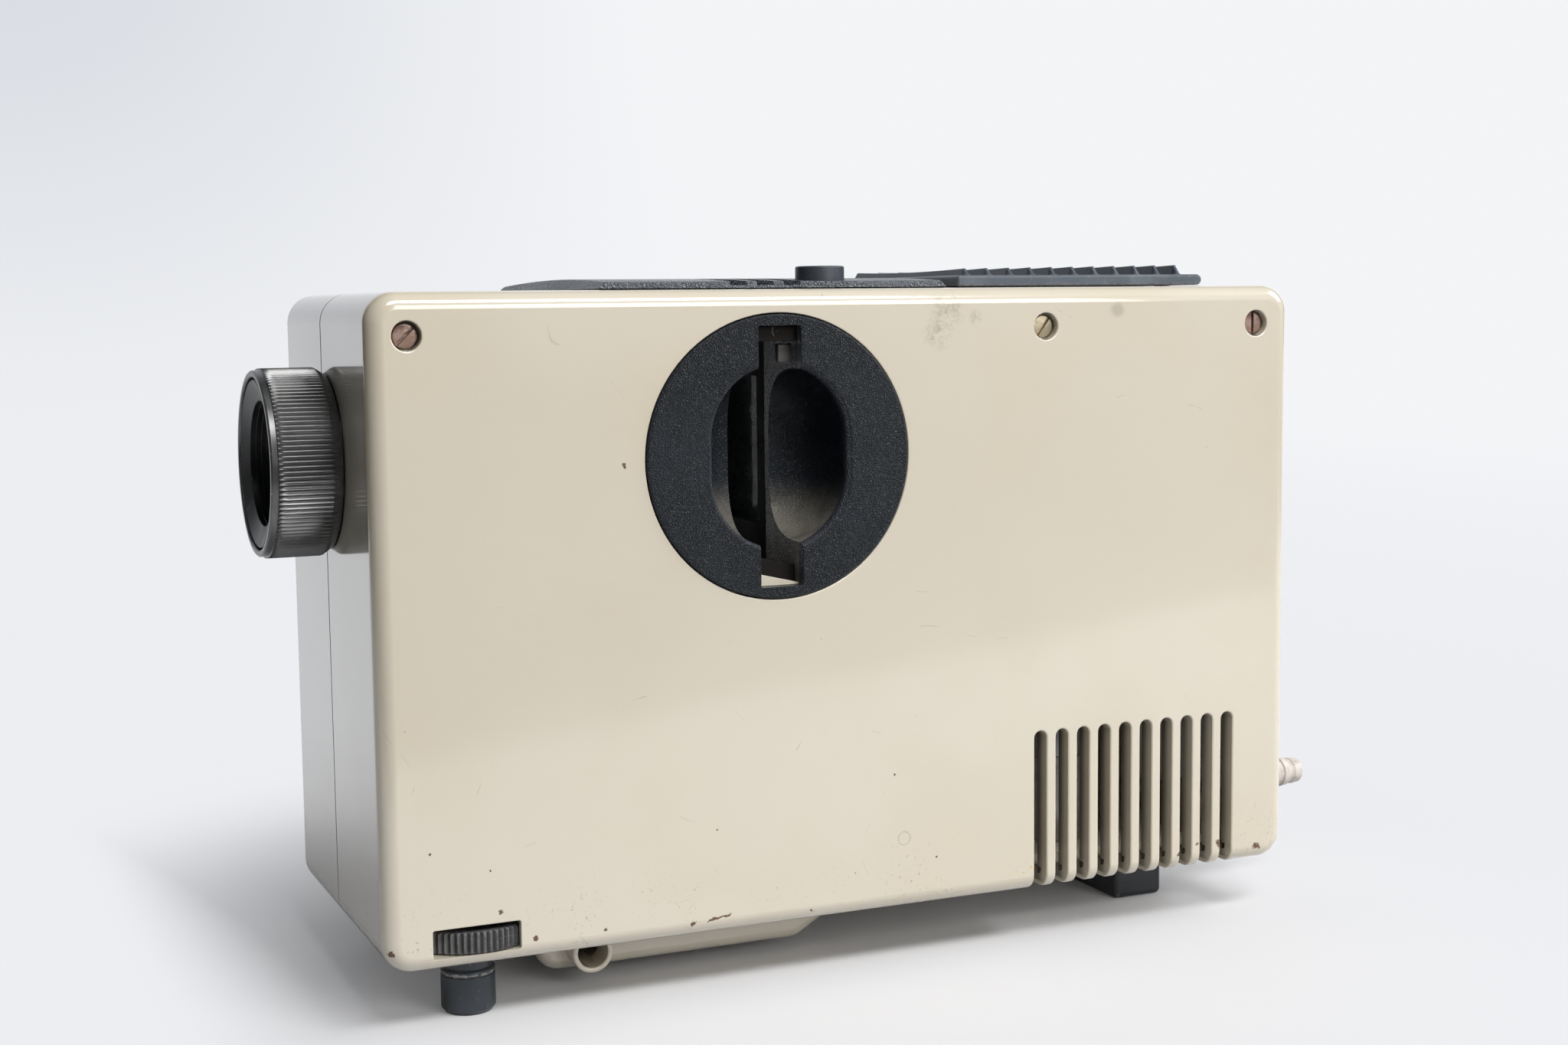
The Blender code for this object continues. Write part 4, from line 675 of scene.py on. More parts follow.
def shellMesh(near):
    # Rounded rectangles in X and Z carried in from the side face: out round the rim,
    # along to the seam, and back inside the wall to the inner face
    depth = housing["nearDepth"] if near else housing["farDepth"]
    rim, wall, seam = housing["rim"], housing["wall"], housing["seamEdge"]
    turn = np.linspace(0, np.pi / 2, 13)
    stations = [(rim * (1 - math.sin(a)), rim * (1 - math.cos(a))) for a in turn]
    stations += [(seam * (1 - math.cos(a)), depth - seam * (1 - math.sin(a)))
                 for a in turn[::3]]
    stations += [(wall, depth), (wall, wall + 1.0), (wall + 0.3, wall + 0.3),
                 (wall + 1.0, wall)]
    box = [(0, 0), (housing["length"], 0), (housing["length"], housing["height"]),
           (0, housing["height"])]
    loops = np.asarray([withDepth(softened(box, housing["corner"], 14, inset), y)
                        for inset, y in stations])
    return loftMesh("shell", loops if near else flipSide(loops))


def sideTube(near, x, z, outer, start, end, lip=0.4, steps=48):
    # A round post along Y between two depths
    soft = softened([(0, start), (outer, start), (outer, end), (0, end)], (0, lip, 0.02, 0), 5,
                    closed=False)
    if not near:
        soft[:, 1] = housing["width"] - soft[:, 1]
    return latheMesh("post", soft, "y", (x, 0, z), steps)


screws = {"height": 140.4, "places": (8.76, 167.1, 229.1), "recess": 3.3, "pillar": 4.4,
          "hole": 1.8, "seat": 4.2}
tubeAt = {"x": 53.1, "z": -5.3, "radius": 5.0, "bore": 3.7, "face": 15.5, "seat": 31.0}
foot = {"x": 22.4, "fromSide": 14.6, "radius": 6.25, "drop": 14.0}
opening = {"windowLow": 2.9, "windowHigh": 9.4, "windowFront": 10.9, "windowRear": 31.0,
           "lampX": 182, "lampHalf": 30.0, "lampFrom": 14}
buttonAt = (112.1, 12.5)
glandAt = (240, 24, 16.4)
hinge = {"x": 216.65, "z": 151.65, "pin": 0.6, "bore": 0.8, "ear": (215.35, 217.95),
         "earTop": 152.95, "start": 12.0}


def buildShell(near):
    name = "nearShell" if near else "farShell"
    width, middle = housing["width"], housing["middle"]
    depth = housing["nearDepth"] if near else housing["farDepth"]
    inward = (0, 1 if near else -1, 0)

    def at(distance):
        return distance if near else width - distance

    def slab(low, high):
        a, b = sorted((at(low[1]), at(high[1])))
        return roundedBlock("slab", (low[0], a, low[2]), (high[0], b, high[2]), 0.3, 0.3, 3)

    tube = sideTube(near, tubeAt["x"], tubeAt["z"], tubeAt["radius"],
                    tubeAt["face"] if near else 22.0, depth - 0.3, lip=0.55)
    posts = [sideTube(near, x, screws["height"], screws["pillar"], 1.5,
                      9.4 if x == screws["places"][1] else depth - 0.3, steps=32)
             for x in screws["places"] if near or x != screws["places"][1]]
    pads = [slab((vents["first"] - 4, 2.0, vents["padDepth"]),
                 (vents["padEnd"], vents["padDepth"], vents["top"] + 3)),
            slab((vents["first"] - 4, 4.9, 2.0),
                 (vents["padEnd"], vents["reach"] + 2, vents["padDepth"] - 0.1))]
    ear = slab((hinge["ear"][0], 22.0, 148.5), (hinge["ear"][1], 26.0, hinge["earTop"]))
    adds = joined("adds", posts + pads + [ear])
    window = holeMesh(((opening["windowFront"] + opening["windowRear"]) / 2, at(0),
                       (opening["windowLow"] + opening["windowHigh"]) / 2),
                      (1, 0, 0), (0, 0, 1), inward,
                      (opening["windowRear"] - opening["windowFront"]) / 2,
                      (opening["windowHigh"] - opening["windowLow"]) / 2, 0.5, 5.0, 0.3)
    cuts = [window,
            roundHole((housing["changerX"], at(0), housing["axisHeight"]), inward, 33.3,
                      4.0, 0.3, 24),
            roundHole((0, middle, housing["axisHeight"]), (1, 0, 0), 20.0, 4.0, 0.4, 20),
            roundHole((foot["x"], at(foot["fromSide"]), 0), (0, 0, 1), 6.0, 4.0, 0.3),
            holeMesh((opening["lampX"], at((opening["lampFrom"] + depth + 1) / 2), 150),
                     (1, 0, 0), (0, 1, 0), (0, 0, -1), opening["lampHalf"],
                     (depth + 1 - opening["lampFrom"]) / 2, 2.0, 4.0, 0.5)]
    cuts += [ventMesh(vents["first"] + vents["pitch"] * k, near)
             for k in range(vents["count"])]
    bores = [sideTube(near, tubeAt["x"], tubeAt["z"], screws["hole"], 30.0, depth + 1,
                      lip=0.02, steps=24)]
    if near:
        cuts += [roundHole((x, 0, screws["height"]), inward, screws["recess"],
                           screws["seat"], 0.35) for x in screws["places"]]
        cuts += [roundHole((tubeAt["x"], tubeAt["face"], tubeAt["z"]), inward,
                           tubeAt["bore"], tubeAt["seat"] - tubeAt["face"], 0.45),
                 roundHole((*buttonAt, 150), (0, 0, -1), 6.15, 4.0, 0.3),
                 roundHole(glandAt, (-1, 0, 0), 4.3, 4.0, 0.2)]
        bores += [sideTube(near, x, screws["height"], screws["hole"], 3.5, depth + 1,
                           lip=0.02, steps=24) for x in screws["places"]]
    else:
        bores += [sideTube(near, x, screws["height"], screws["hole"], 32.0, depth + 1,
                           lip=0.02, steps=24) for x in screws["places"][::2]]
    relief = latheMesh("relief", [(0, 3.15), (15.7, 3.15), (15.7, 8.5), (0, 8.5)], "z",
                       (foot["x"], at(foot["fromSide"]), 0), 64)
    pinHole = roundHole((hinge["x"], at(hinge["start"]), hinge["z"]), inward, hinge["bore"],
                        33.0, 0.02)
    mesh = carved(shellMesh(near), ("UNION", bulgeMesh(near)), ("UNION", tube),
                  ("UNION", adds), ("DIFFERENCE", bulgeMesh(near, True)),
                  ("DIFFERENCE", joined("cuts", cuts)),
                  ("DIFFERENCE", joined("bores", bores)),
                  ("DIFFERENCE", joined("small", [relief, pinHole])))
    piece(name, mesh, "housing", cream,
          ["near_shell" if near else "far_shell"])
    print(name, "built,", len(mesh.polygons), "faces")


for nearSide in (True, False):
    buildShell(nearSide)


# Slot plates: a rim, a flat face, a soft lip, a deep bowl for the fingers, the slot

plate = {"x": housing["changerX"], "radius": 33.0, "proud": 0.6, "edge": 0.55, "flange": 35.5,
         "rise": 4.2, "lip": 1.5, "mouth": 17.0, "depth": 18.6, "wall": 2.0,
         "slotHalf": 5.33, "slotTall": 30.3, "power": 3.0, "cheek": 7.33}


def stadiumLoop(half, rise, depth, count=144):
    # Two half circles of radius half, drawn apart by rise: at 0 rise it is a circle
    angle = np.linspace(0, np.pi, count // 2)
    top = np.stack([half * np.cos(angle), rise + half * np.sin(angle)], 1)
    flat = np.concatenate([top, -top])
    return withDepth(flat + (plate["x"], housing["axisHeight"]), depth)


def buildPlate(near):
    p = plate
    quarter = np.linspace(0, np.pi / 2, 7)
    bowl = np.linspace(0.0, 0.94, 22)[1:] * np.pi / 2
    share, fall = np.cos(bowl) ** (2 / p["power"]), np.sin(bowl) ** (2 / p["power"])
    lipLevel = p["lip"] - p["proud"]
    level = housing["axisHeight"]
    cup = [(p["wall"] + p["mouth"] * s, p["rise"],
            lipLevel + (p["depth"] + p["wall"]) * d + 0.2) for s, d in zip(share, fall)]
    body = [(p["radius"] - p["edge"] * (1 - math.sin(a)), 0.0,
             -p["proud"] + p["edge"] * (1 - math.cos(a))) for a in quarter]
    body += [(p["radius"], 0.0, 3.3), (p["flange"], 0.0, 3.3), (p["flange"], 0.0, 5.3),
             (p["wall"] + p["mouth"] + 0.2, p["rise"], 5.3)] + cup[4:]
    # 0.8436 is 1 - cos of 0.9 right angles, where the lip's arc ends at the face
    pocket = [(p["mouth"] + p["lip"] * 0.8436, p["rise"], -p["proud"] - 1.0)]
    pocket += [(p["mouth"] + p["lip"] * (1 - math.cos(a)), p["rise"],
                lipLevel - p["lip"] * math.sin(a)) for a in quarter[::-1] * 0.9]
    pocket += [(p["mouth"] * s, p["rise"], lipLevel + p["depth"] * d)
               for s, d in zip(share, fall)]
    body, pocket = (np.asarray([stadiumLoop(*row) for row in rows]) for rows in (body, pocket))
    cheekBox = [(p["x"] - p["cheek"], 78.9), (p["x"] + p["cheek"], 78.9),
                (p["x"] + p["cheek"], 143.5), (p["x"] - p["cheek"], 143.5)]
    cheeks = np.asarray([withDepth(softened(cheekBox, 0.8, 4), y) for y in (4.0, 21.4)])
    slot = []
    for distance, reach in flareSteps(0.28, 26.0):
        u, v = p["slotHalf"] + reach, p["slotTall"] + reach
        slot.append(withDepth(softened([(p["x"] - u, level - v), (p["x"] + u, level - v),
                                        (p["x"] + u, level + v), (p["x"] - u, level + v)],
                                       0.45 + reach, 4), distance - p["proud"]))
    slot = np.asarray(slot)
    if not near:
        body, pocket, cheeks, slot = (flipSide(part) for part in (body, pocket, cheeks, slot))
    mesh = carved(loftMesh("plate", body), ("UNION", loftMesh("cheeks", cheeks)),
                  ("DIFFERENCE", loftMesh("pocket", pocket)),
                  ("DIFFERENCE", loftMesh("slot", slot)))
    side = "near" if near else "far"
    piece(side + "SlotPlate", mesh, "housing", discGrain,
          [side + "_slot_plate"], 34)


for nearSide in (True, False):
    buildPlate(nearSide)

# Low in the slot a painted sill and a dark slanting block over it, near its top a bar and a
# guide
slotLeft, slotRight = 90.62, 101.18
piece("slotSill", carriedAcross("sill", [
    (slotLeft, 80.95), (slotRight, 80.95), (slotRight, 81.35), (slotLeft, 83.9)], 0.12, 2.2,
    7.4, 0.1, 3), "housing", cream)
piece("slotDarkBand", carriedAcross("darkBand", [
    (slotLeft, 83.95), (slotRight, 81.4), (slotRight, 85.4), (slotLeft, 87.6)], 0.2, 4.2, 9.6,
    0.15, 3), "housing", brownish)
piece("slotBar", roundedBlock("bar", (slotLeft, 1.9, 137.9), (slotRight, 6.2, 141.4), 0.2, 0.2,
                              3), "housing", brownish)
piece("slotGuide", roundedBlock("guide", (97.4, 4.4, 132.9), (101.1, 6.2, 137.2), 0.35, 0.4,
                                4), "housing", bracket)
print("slot plates built")


# Lens: ribbed focusing ring, barrel, retainer and front glass

lens = {"ringRadius": 21.9, "ribs": 117, "ribDepth": 0.55, "ribSteps": 8, "bandEnd": -14.9,
        "ribEnd": -2.6}


def ringRibs(radius, along, angle):
    # Grooves cut in the outer face: depth times a raised cosine, faded at both ends
    outer = radius > lens["ringRadius"] - 0.25
    fade = np.clip((along - lens["bandEnd"]) / 0.25, 0, 1) * np.clip(
        (lens["ribEnd"] + 2.2 - along) / 1.4, 0, 1)
    wave = 0.5 - 0.5 * np.cos(angle * lens["ribs"])
    return radius - outer * fade * lens["ribDepth"] * (1 - wave ** 1.8)


lensAt = (0, housing["middle"], housing["axisHeight"])
ringProfile = softened([(19.7, -0.35), (20.45, -0.35), (21.9, -2.6), (21.9, -14.9),
                        (21.5, -15.0), (21.45, -16.25), (21.1, -16.6), (20.2, -16.6),
                        (19.8, -16.1)], (0, 0.25, 0.6, 0.06, 0.06, 0.12, 0.12, 0.18, 0), 4,
                       closed=False)
spread = []
for first, second in zip(ringProfile[:-1], ringProfile[1:]):
    count = max(1, int(abs(second[1] - first[1]) / 0.9))
    spread.append(first + (second - first) * np.arange(count)[:, None] / count)
ringProfile = np.concatenate(spread + [ringProfile[-1:]])
piece("focusRing", latheMesh("ring", ringProfile, "x", lensAt,
                             lens["ribs"] * lens["ribSteps"], True, ringRibs),
      "focus_ring", ringBlack, ["focus_ring"], 40)
barrelProfile = softened([(13.5, 51.8), (19.4, 51.8), (19.4, -15.5), (18.2, -15.5),
                          (18.2, -8.2), (15.8, -8.2), (15.8, -3.1), (13.5, -3.1)],
                         (0, 0.4, 0.1, 0.1, 0, 0, 0, 0), 3, closed=False)
piece("lensBarrel", latheMesh("barrel", barrelProfile, "x", lensAt, 160, True), "lens",
      innerBlack, ["lens_barrel"])
stepsDown = [(17.9, -8.5), (17.9, -15.4), (19.35, -15.4), (19.35, -16.1), (19.0, -16.25),
             (14.75, -14.75), (14.55, -14.9)]
for k in range(5):
    stepsDown += [(14.45 - 0.12 * k, -14.75 + 1.25 * k), (14.4 - 0.12 * k, -13.6 + 1.25 * k)]
stepsDown += [(13.9, -8.5)]
piece("lensRetainer", latheMesh("retainer", softened(stepsDown, 0.05, 2, closed=False), "x",
                                lensAt, 160, True), "lens", innerBlack,
      ["lens_retainer"], 25)
arcIn = np.linspace(0, 1, 20)
glassFront = np.stack([15.5 * arcIn, -8.05 - 2.2 * (1 - arcIn ** 2)], 1)
glassRear = np.stack([15.5 * arcIn[::-1], -3.3 - 0.9 * (1 - arcIn[::-1] ** 2)], 1)
piece("frontGlass", latheMesh("glass", np.concatenate([glassFront, glassRear]), "x", lensAt,
                              120), "lens", frontGlass, ["front_lens"])
print("lens built")


# Height wheels and screw feet

wheel = {"radius": 15.28, "low": 3.3, "high": 8.1, "ribs": 64, "ribDepth": 0.75}


def wheelRibs(radius, along, angle):
    # Round ribs: depth times a sharpened cosine, faded at the top and bottom edges
    outer = radius > wheel["radius"] - 0.4
    fade = np.clip((along - wheel["low"]) / 0.3, 0, 1) * np.clip(
        (wheel["high"] - along) / 0.35, 0, 1)
    wave = 0.5 + 0.5 * np.cos(angle * wheel["ribs"])
    return radius - outer * (0.35 + 0.65 * fade) * wheel["ribDepth"] * (1 - wave ** 0.6)


for side, fromSide in (("near", foot["fromSide"]), ("far", housing["width"] - foot["fromSide"])):
    w = wheel
    r, drop = foot["radius"], foot["drop"]
    rimProfile = softened([(3.3, w["low"]), (w["radius"] - 0.2, w["low"]),
                           (w["radius"], w["low"] + 0.3), (w["radius"], w["high"] - 0.4),
                           (w["radius"] - 0.45, w["high"]), (12.6, w["high"]),
                           (12.2, w["high"] - 0.7), (6.4, w["high"] - 0.7),
                           (6.0, w["high"]), (3.3, w["high"])], 0.12, 2, closed=False)
    piece(side + "HeightWheel", latheMesh("wheel", rimProfile, "z", (foot["x"], fromSide, 0),
                                          w["ribs"] * 10, True, wheelRibs), side + "_wheel",
          wheelDust, [side + "_height_wheel"], 40)
    legProfile = softened([(0, 40), (3.0, 40), (3.0, 2.7), (5.6, 2.7), (5.6, -3.4),
                           (r, -3.9), (r, -4.7), (6.02, -4.85), (6.02, -5.15),
                           (r, -5.3), (r, -13.0), (5.95, -13.15), (5.35, -drop),
                           (4.6, -drop), (4.3, -13.6), (0, -13.6)],
                          (0, 0.5, 0.2, 0.3, 0.2, 0.25, 0.15, 0.1, 0.1, 0.15, 0.4, 0.2, 0.25,
                           0.15, 0.15, 0), 3, closed=False)
    piece(side + "ScrewFoot", latheMesh("foot", legProfile, "z", (foot["x"], fromSide, 0),
                                        96), side + "_screw_foot", navy,
          [side + "_foot"], 38)

piece("rearFoot", roundedBlock("rear", (204.3, 26, -foot["drop"]), (219.1, 64, -0.3),
                               1.6, 1.6, 7),
      "housing", black, ["rear_foot"])


# Screws

def screwMesh(x, z, sink, shank, degrees):
    # A cheese head with a rounded rim and slight crown on a plain shank, then its slot
    profile = softened([(0, sink), (2.75, sink + 0.12), (2.75, sink + 2.4),
                        (1.5, sink + 2.4), (1.5, sink + 2.4 + shank), (0, sink + 2.4 + shank)],
                       (0, 0.35, 0.1, 0.1, 0.4, 0), 5, closed=False)
    mesh = latheMesh("screw", profile, "y", (x, 0, z), 64)
    turn = math.radians(degrees)
    across = np.array([math.cos(turn), 0, math.sin(turn)])
    up = np.array([-math.sin(turn), 0, math.cos(turn)])
    slot = holeMesh((x, sink, z), across, up, (0, 1, 0), 3.4, 0.38, 0.05, 0.95, 0.08, 2)
    return carved(mesh, ("DIFFERENCE", slot))


for name, x, z, sink, shank, degrees, finish in (
        ("front_screw", 8.76, 140.4, 1.5, 54, 45, rustyScrew),
        ("middle_screw", 167.1, 140.4, 1.5, 10, 52, brassScrew),
        ("rear_screw", 229.1, 140.4, 1.5, 54, 90, rustyScrew),
        ("tube_screw", 53.1, -5.3, 28.3, 27, -30, rustyScrew)):
    words = name.split("_")
    piece(words[0] + "Screw", screwMesh(x, z, sink, shank, degrees), "housing",
          finish, [name])
print("wheels, feet and screws built")


# Grained plates on the roof

roof = {"front": 54.0, "rear": 142.5, "inset": 5.5, "base": 150.3, "edge": 1.2,
        "shoulder": 151.8, "crown": 1.1, "grooves": (88.2, 95.0, 101.8), "groove": 4.3}


def crownAt(y, inset, rise):
    # A parabola across the housing
    middle = housing["middle"]
    return rise * (1 - ((y - middle) / (middle - inset)) ** 2)


def roofMesh(near):
    # The plate's cross outline in (y, z), carried along X, its ends leaning inwards and
    # drawn in on an arc
    depth = housing["nearDepth"] if near else housing["farDepth"]
    distance = np.linspace(roof["inset"] + 0.6, depth, 26)
    heights = roof["shoulder"] + crownAt(distance if near else housing["width"] - distance,
                                         roof["inset"], roof["crown"])
    outline = np.concatenate([[(depth, roof["base"]), (roof["inset"], roof["base"]),
                               (roof["inset"], roof["base"] + roof["edge"] - 0.1),
                               (roof["inset"] + 0.12, roof["base"] + roof["edge"] + 0.1)],
                              np.stack([distance, heights], 1)])
    spot = np.array([0.0, 0.05, 0.18, 0.38])
    drawn = np.array([0.38, 0.18, 0.05, 0.0])
    length = np.concatenate([roof["front"] + spot, [98.0], roof["rear"] - spot[::-1]])
    draw = np.concatenate([drawn, [0.0], drawn[::-1]])
    loops = []
    for x, inset in zip(length, draw):
        flat = outline.copy()
        flat[:, 1] = np.maximum(flat[:, 1] - inset * (flat[:, 1] - roof["base"]) / 2.6,
                                roof["base"])
        lean = flat[:, 1] - roof["base"]
        towards = np.sign(98.0 - x)
        loops.append(np.stack([x + towards * lean, flat[:, 0], flat[:, 1]], 1))
    loops = np.asarray(loops)
    return loftMesh("roof", loops if near else flipSide(loops))


nearRoof = carved(roofMesh(True), ("DIFFERENCE", joined("grooves", [
    holeMesh((x, 22.5, 154.2), (1, 0, 0), (0, 1, 0), (0, 0, -1), roof["groove"] / 2, 17.35,
             0.4, 3.3, 0.0) for x in roof["grooves"]] + [
    roundHole((*buttonAt, 154.0), (0, 0, -1), 6.2, 6.0, 0.0)])))
piece("nearRoofPlate", nearRoof, "housing", roofGrain, ["near_top_plate"], 30)
piece("farRoofPlate", roofMesh(False), "housing", roofGrain,
      ["far_top_plate"], 30)
buttonProfile = softened([(0, 155.1), (4.9, 155.15), (5.3, 155.4), (5.85, 155.2), (5.85, 147.5),
                          (2.0, 147.5), (2.0, 141.5), (0, 141.5)],
                         (0, 0.3, 0.3, 0.35, 0.1, 0.1, 0.1, 0), 4, closed=False)
piece("pushButton", latheMesh("button", buttonProfile, "z", (*buttonAt, 0), 80), "button",
      knob, ["switch_button"])
print("roof plates built")


# Lamp cover: a flat block, tapered ribs across it, slots between them, a hinge behind

cover = {"front": 147.0, "rear": 218.0, "inset": 8.0, "base": 150.3, "top": 153.0,
         "edge": 0.6, "skin": 1.2, "wall": 3.0, "first": 151.8, "pitch": 6.16, "foot": 2.4,
         "tip": 0.7, "lean": 0.55, "height": 1.8, "rise": 0.7, "dish": 0.45, "start": 12.9,
         "run": 2.2, "slot": 3.4, "slots": 10}


def ribMesh(k):
    # A leaning blade whose rear foot flares out on a power curve, carried across: it
    # climbs over its end run, then dips towards the middle by a parabola
    c = cover
    tall = c["height"] + c["rise"] * k / c["slots"]
    flare = np.linspace(0, 1, 10)
    back = c["lean"] + c["tip"]
    section = np.concatenate([
        [(0, -0.5), (0, 0), (c["lean"] * 0.9, tall - 0.14), (c["lean"] + 0.1, tall - 0.02),
         (c["lean"] + 0.25, tall), (back - 0.2, tall), (back - 0.05, tall - 0.05)],
        np.stack([back + 0.22 * flare + (c["foot"] - back - 0.22) * flare ** 3.2,
                  (tall - 0.14) * (1 - flare)], 1),
        [(c["foot"], -0.5)]])
    full = c["start"] + c["run"]
    climb = np.array([0.02, 0.2, 0.45, 0.7, 0.88, 0.97])
    middle = np.linspace(full, housing["width"] - full, 23)
    places = np.concatenate([c["start"] + c["run"] * climb, middle,
                             housing["width"] - c["start"] - c["run"] * climb[::-1]])
    shares = np.concatenate([climb, 1 - crownAt(middle, full, c["dish"]) / tall,
                             climb[::-1]])
    heights = np.where(section[:, 1] > 0, section[:, 1] * shares[:, None], section[:, 1])
    x = c["first"] + c["pitch"] * k + section[:, 0]
    loops = np.stack([np.broadcast_to(x, heights.shape),
                      np.broadcast_to(places[:, None], heights.shape),
                      c["top"] + heights], -1)
    return loftMesh("rib", loops)


def coverMesh():
    c = cover
    corners = [(c["front"], c["base"]), (c["rear"], c["base"]), (c["rear"], c["top"]),
               (c["front"], c["top"])]
    block = carriedAcross("cover", corners, (0.62, 1.34, 1.34, 0.8), c["inset"],
                          housing["width"] - c["inset"], c["edge"], 6)
    ribs = joined("ribs", [ribMesh(k) for k in range(c["slots"] + 1)])
    hollow = roundedBlock("hollow", (c["front"] + c["wall"], c["inset"] + c["wall"], 148.0),
                          (213.8, housing["width"] - c["inset"] - c["wall"],
                           c["top"] - c["skin"]), 0.5, 0.5, 4)
    full = c["start"] + c["run"]
    slots = [holeMesh((c["first"] + c["pitch"] * k + (c["pitch"] + c["foot"]) / 2, 45.0,
                       158.0), (1, 0, 0), (0, 1, 0), (0, 0, -1), c["slot"] / 2, 45.0 - full,
                      0.5, 10.0, 0.0, 4) for k in range(c["slots"])]
    notches = [roundedBlock("notch", (214.3, low, 149.0), (219.0, low + 5.0, 156.0), 0.2,
                            0.2, 3) for low in (21.5, 63.5)]
    bore = latheMesh("bore", [(0, 11.7), (hinge["bore"], 11.7), (hinge["bore"], 78.3),
                              (0, 78.3)], "y", (hinge["x"], 0, hinge["z"]), 20)
    return carved(block, ("UNION", ribs), ("DIFFERENCE", hollow),
                  ("DIFFERENCE", joined("slots", slots)),
                  ("DIFFERENCE", joined("notches", notches)), ("DIFFERENCE", bore))


piece("lampCover", coverMesh(), "cover", lid, ["lamp_cover"], 30)
pinProfile = softened([(0, 12), (hinge["pin"], 12), (hinge["pin"], 78), (0, 78)],
                      (0, 0.2, 0.2, 0), 4, closed=False)
piece("hingePin", latheMesh("pin", pinProfile, "y", (hinge["x"], 0, hinge["z"]), 32),
      "housing", chassisSteel, ["hinge_pin"])
print("lamp cover built")


# Cord gland: flange, and a tapered boot with rings cut round it

glandRun = np.linspace(0, 1, 97)
bootRadius = 3.35 + 1.95 * (1 - glandRun) ** 0.9
rings = 0.5 * np.clip(np.sin(glandRun * 2 * np.pi * 5 - 0.6) * 3, 0, 1)
rings *= np.clip((0.93 - glandRun) / 0.05, 0, 1) * np.clip((glandRun - 0.06) / 0.05, 0, 1)
bootProfile = np.stack([bootRadius - rings, 2.1 + 18.6 * glandRun], 1)
glandProfile = np.concatenate([
    softened([(0, -6.3), (6.0, -6.3), (6.0, -3.3), (4.0, -3.3), (4.0, 0.3), (6.2, 0.3),
              (6.2, 2.1), (5.3, 2.1)], (0, 0.2, 0.2, 0.1, 0.1, 0.2, 0.5, 0), 4,
             closed=False), bootProfile,
    softened([(3.35, 20.7), (3.2, 22.0), (2.3, 22.0), (2.2, 20.6), (0, 20.6)],
             (0, 0.9, 0.3, 0.1, 0), 5, closed=False)])
piece("cordGland", latheMesh("gland", glandProfile, "x", glandAt, 72), "housing",
      boot, ["cord_gland"], 40)


# What shows with the cover open: bulb, filament, mirror; and the winding below

bulb = softened([(0, 131.2), (9.2, 131.2), (13.0, 126.0), (13.0, 106.0), (7.0, 94.5),
                 (7.0, 91.6), (0, 91.6)], (0, 7.5, 5.0, 9.0, 6.0, 0.2, 0), 10, closed=False)
bulbAt = (180, 45, 0)
piece("bulb", latheMesh("bulb", bulb, "z", bulbAt, 72), "housing",
      bulbGlass, ["lamp"])
base = softened([(0, 91.6), (8.0, 91.6), (8.0, 77.6), (0, 77.6)], (0, 0.6, 0.6, 0), 4,
                closed=False)
piece("bulbBase", latheMesh("base", base, "z", bulbAt, 64), "housing",
      sleeveSteel)


def wireMesh(line, radius, sides=6):
    # A round section carried along a line of points, square to each step
    line = np.asarray(line, float)
    ahead = np.gradient(line, axis=0)
    ahead /= np.linalg.norm(ahead, axis=1)[:, None]
    side = np.cross(ahead, (0.31, 0.17, 0.93))
    side /= np.linalg.norm(side, axis=1)[:, None]
    up = np.cross(side, ahead)
    angle = np.linspace(0, 2 * np.pi, sides, endpoint=False)
    loops = (line[:, None] + radius * (np.cos(angle)[None, :, None] * side[:, None]
                                       + np.sin(angle)[None, :, None] * up[:, None]))
    return loftMesh("wire", loops)


turns = np.linspace(0, 1, 260)
axisHeight = housing["axisHeight"]
coilLine = np.stack([bulbAt[0] + 0.7 * np.cos(turns * 2 * np.pi * 14), 41 + 8 * turns,
                     axisHeight + 0.7 * np.sin(turns * 2 * np.pi * 14)], 1)
legs = [np.array([(bulbAt[0], y, 90.5), (bulbAt[0], y, axisHeight)]) for y in (41, 49)]
filament = joined("filament", [wireMesh(coilLine, 0.16)] + [wireMesh(leg, 0.35, 10)
                                                          for leg in legs])
piece("bulbFilament", filament, "housing", sleeveSteel)
dishArc = np.linspace(0, 1, 28)
dishFront = np.stack([21.0 * dishArc, 207.0 - 7.0 * dishArc ** 2], 1)
dishBack = dishFront[::-1] + (0, 1.5)
dish = latheMesh("dish", np.concatenate([dishFront, dishBack]), "x", lensAt, 96)
stand = roundedBlock("stand", (203.2, 37.0, 72.3), (208.2, 53.0, 95.2), 0.4, 0.4, 4)
piece("reflector", carved(dish, ("UNION", stand)), "housing", mirrorSteel,
      ["reflector"])
coil = {"turns": 24, "turnDepth": 0.42, "corner": 4.0, "base": -1.0, "tall": 31.4}
layers = np.linspace(0, 1, 145)
coilLoops = []
for share in layers:
    swell = coil["turnDepth"] * abs(math.sin(share * math.pi * coil["turns"])) ** 0.5
    flat = softened([(68.3, 27.0), (97.7, 27.0), (97.7, 63.0), (68.3, 63.0)],
                    coil["corner"], 6, coil["turnDepth"] - swell)
    coilLoops.append(np.stack([flat[:, 0], flat[:, 1], np.full(
        len(flat), coil["base"] + coil["tall"] * share)], 1))
coreHole = roundedBlock("coreHole", (75.7, 33.7, -4.0), (90.3, 56.3, 34.0), 0.3, 0.3, 3)
piece("transformerWinding", carved(loftMesh("coil", coilLoops), ("DIFFERENCE", coreHole)),
      "housing", winding, ["transformer_coil"], 60)
print("inner pieces built")


# Finishes for the CAD nodes that stay

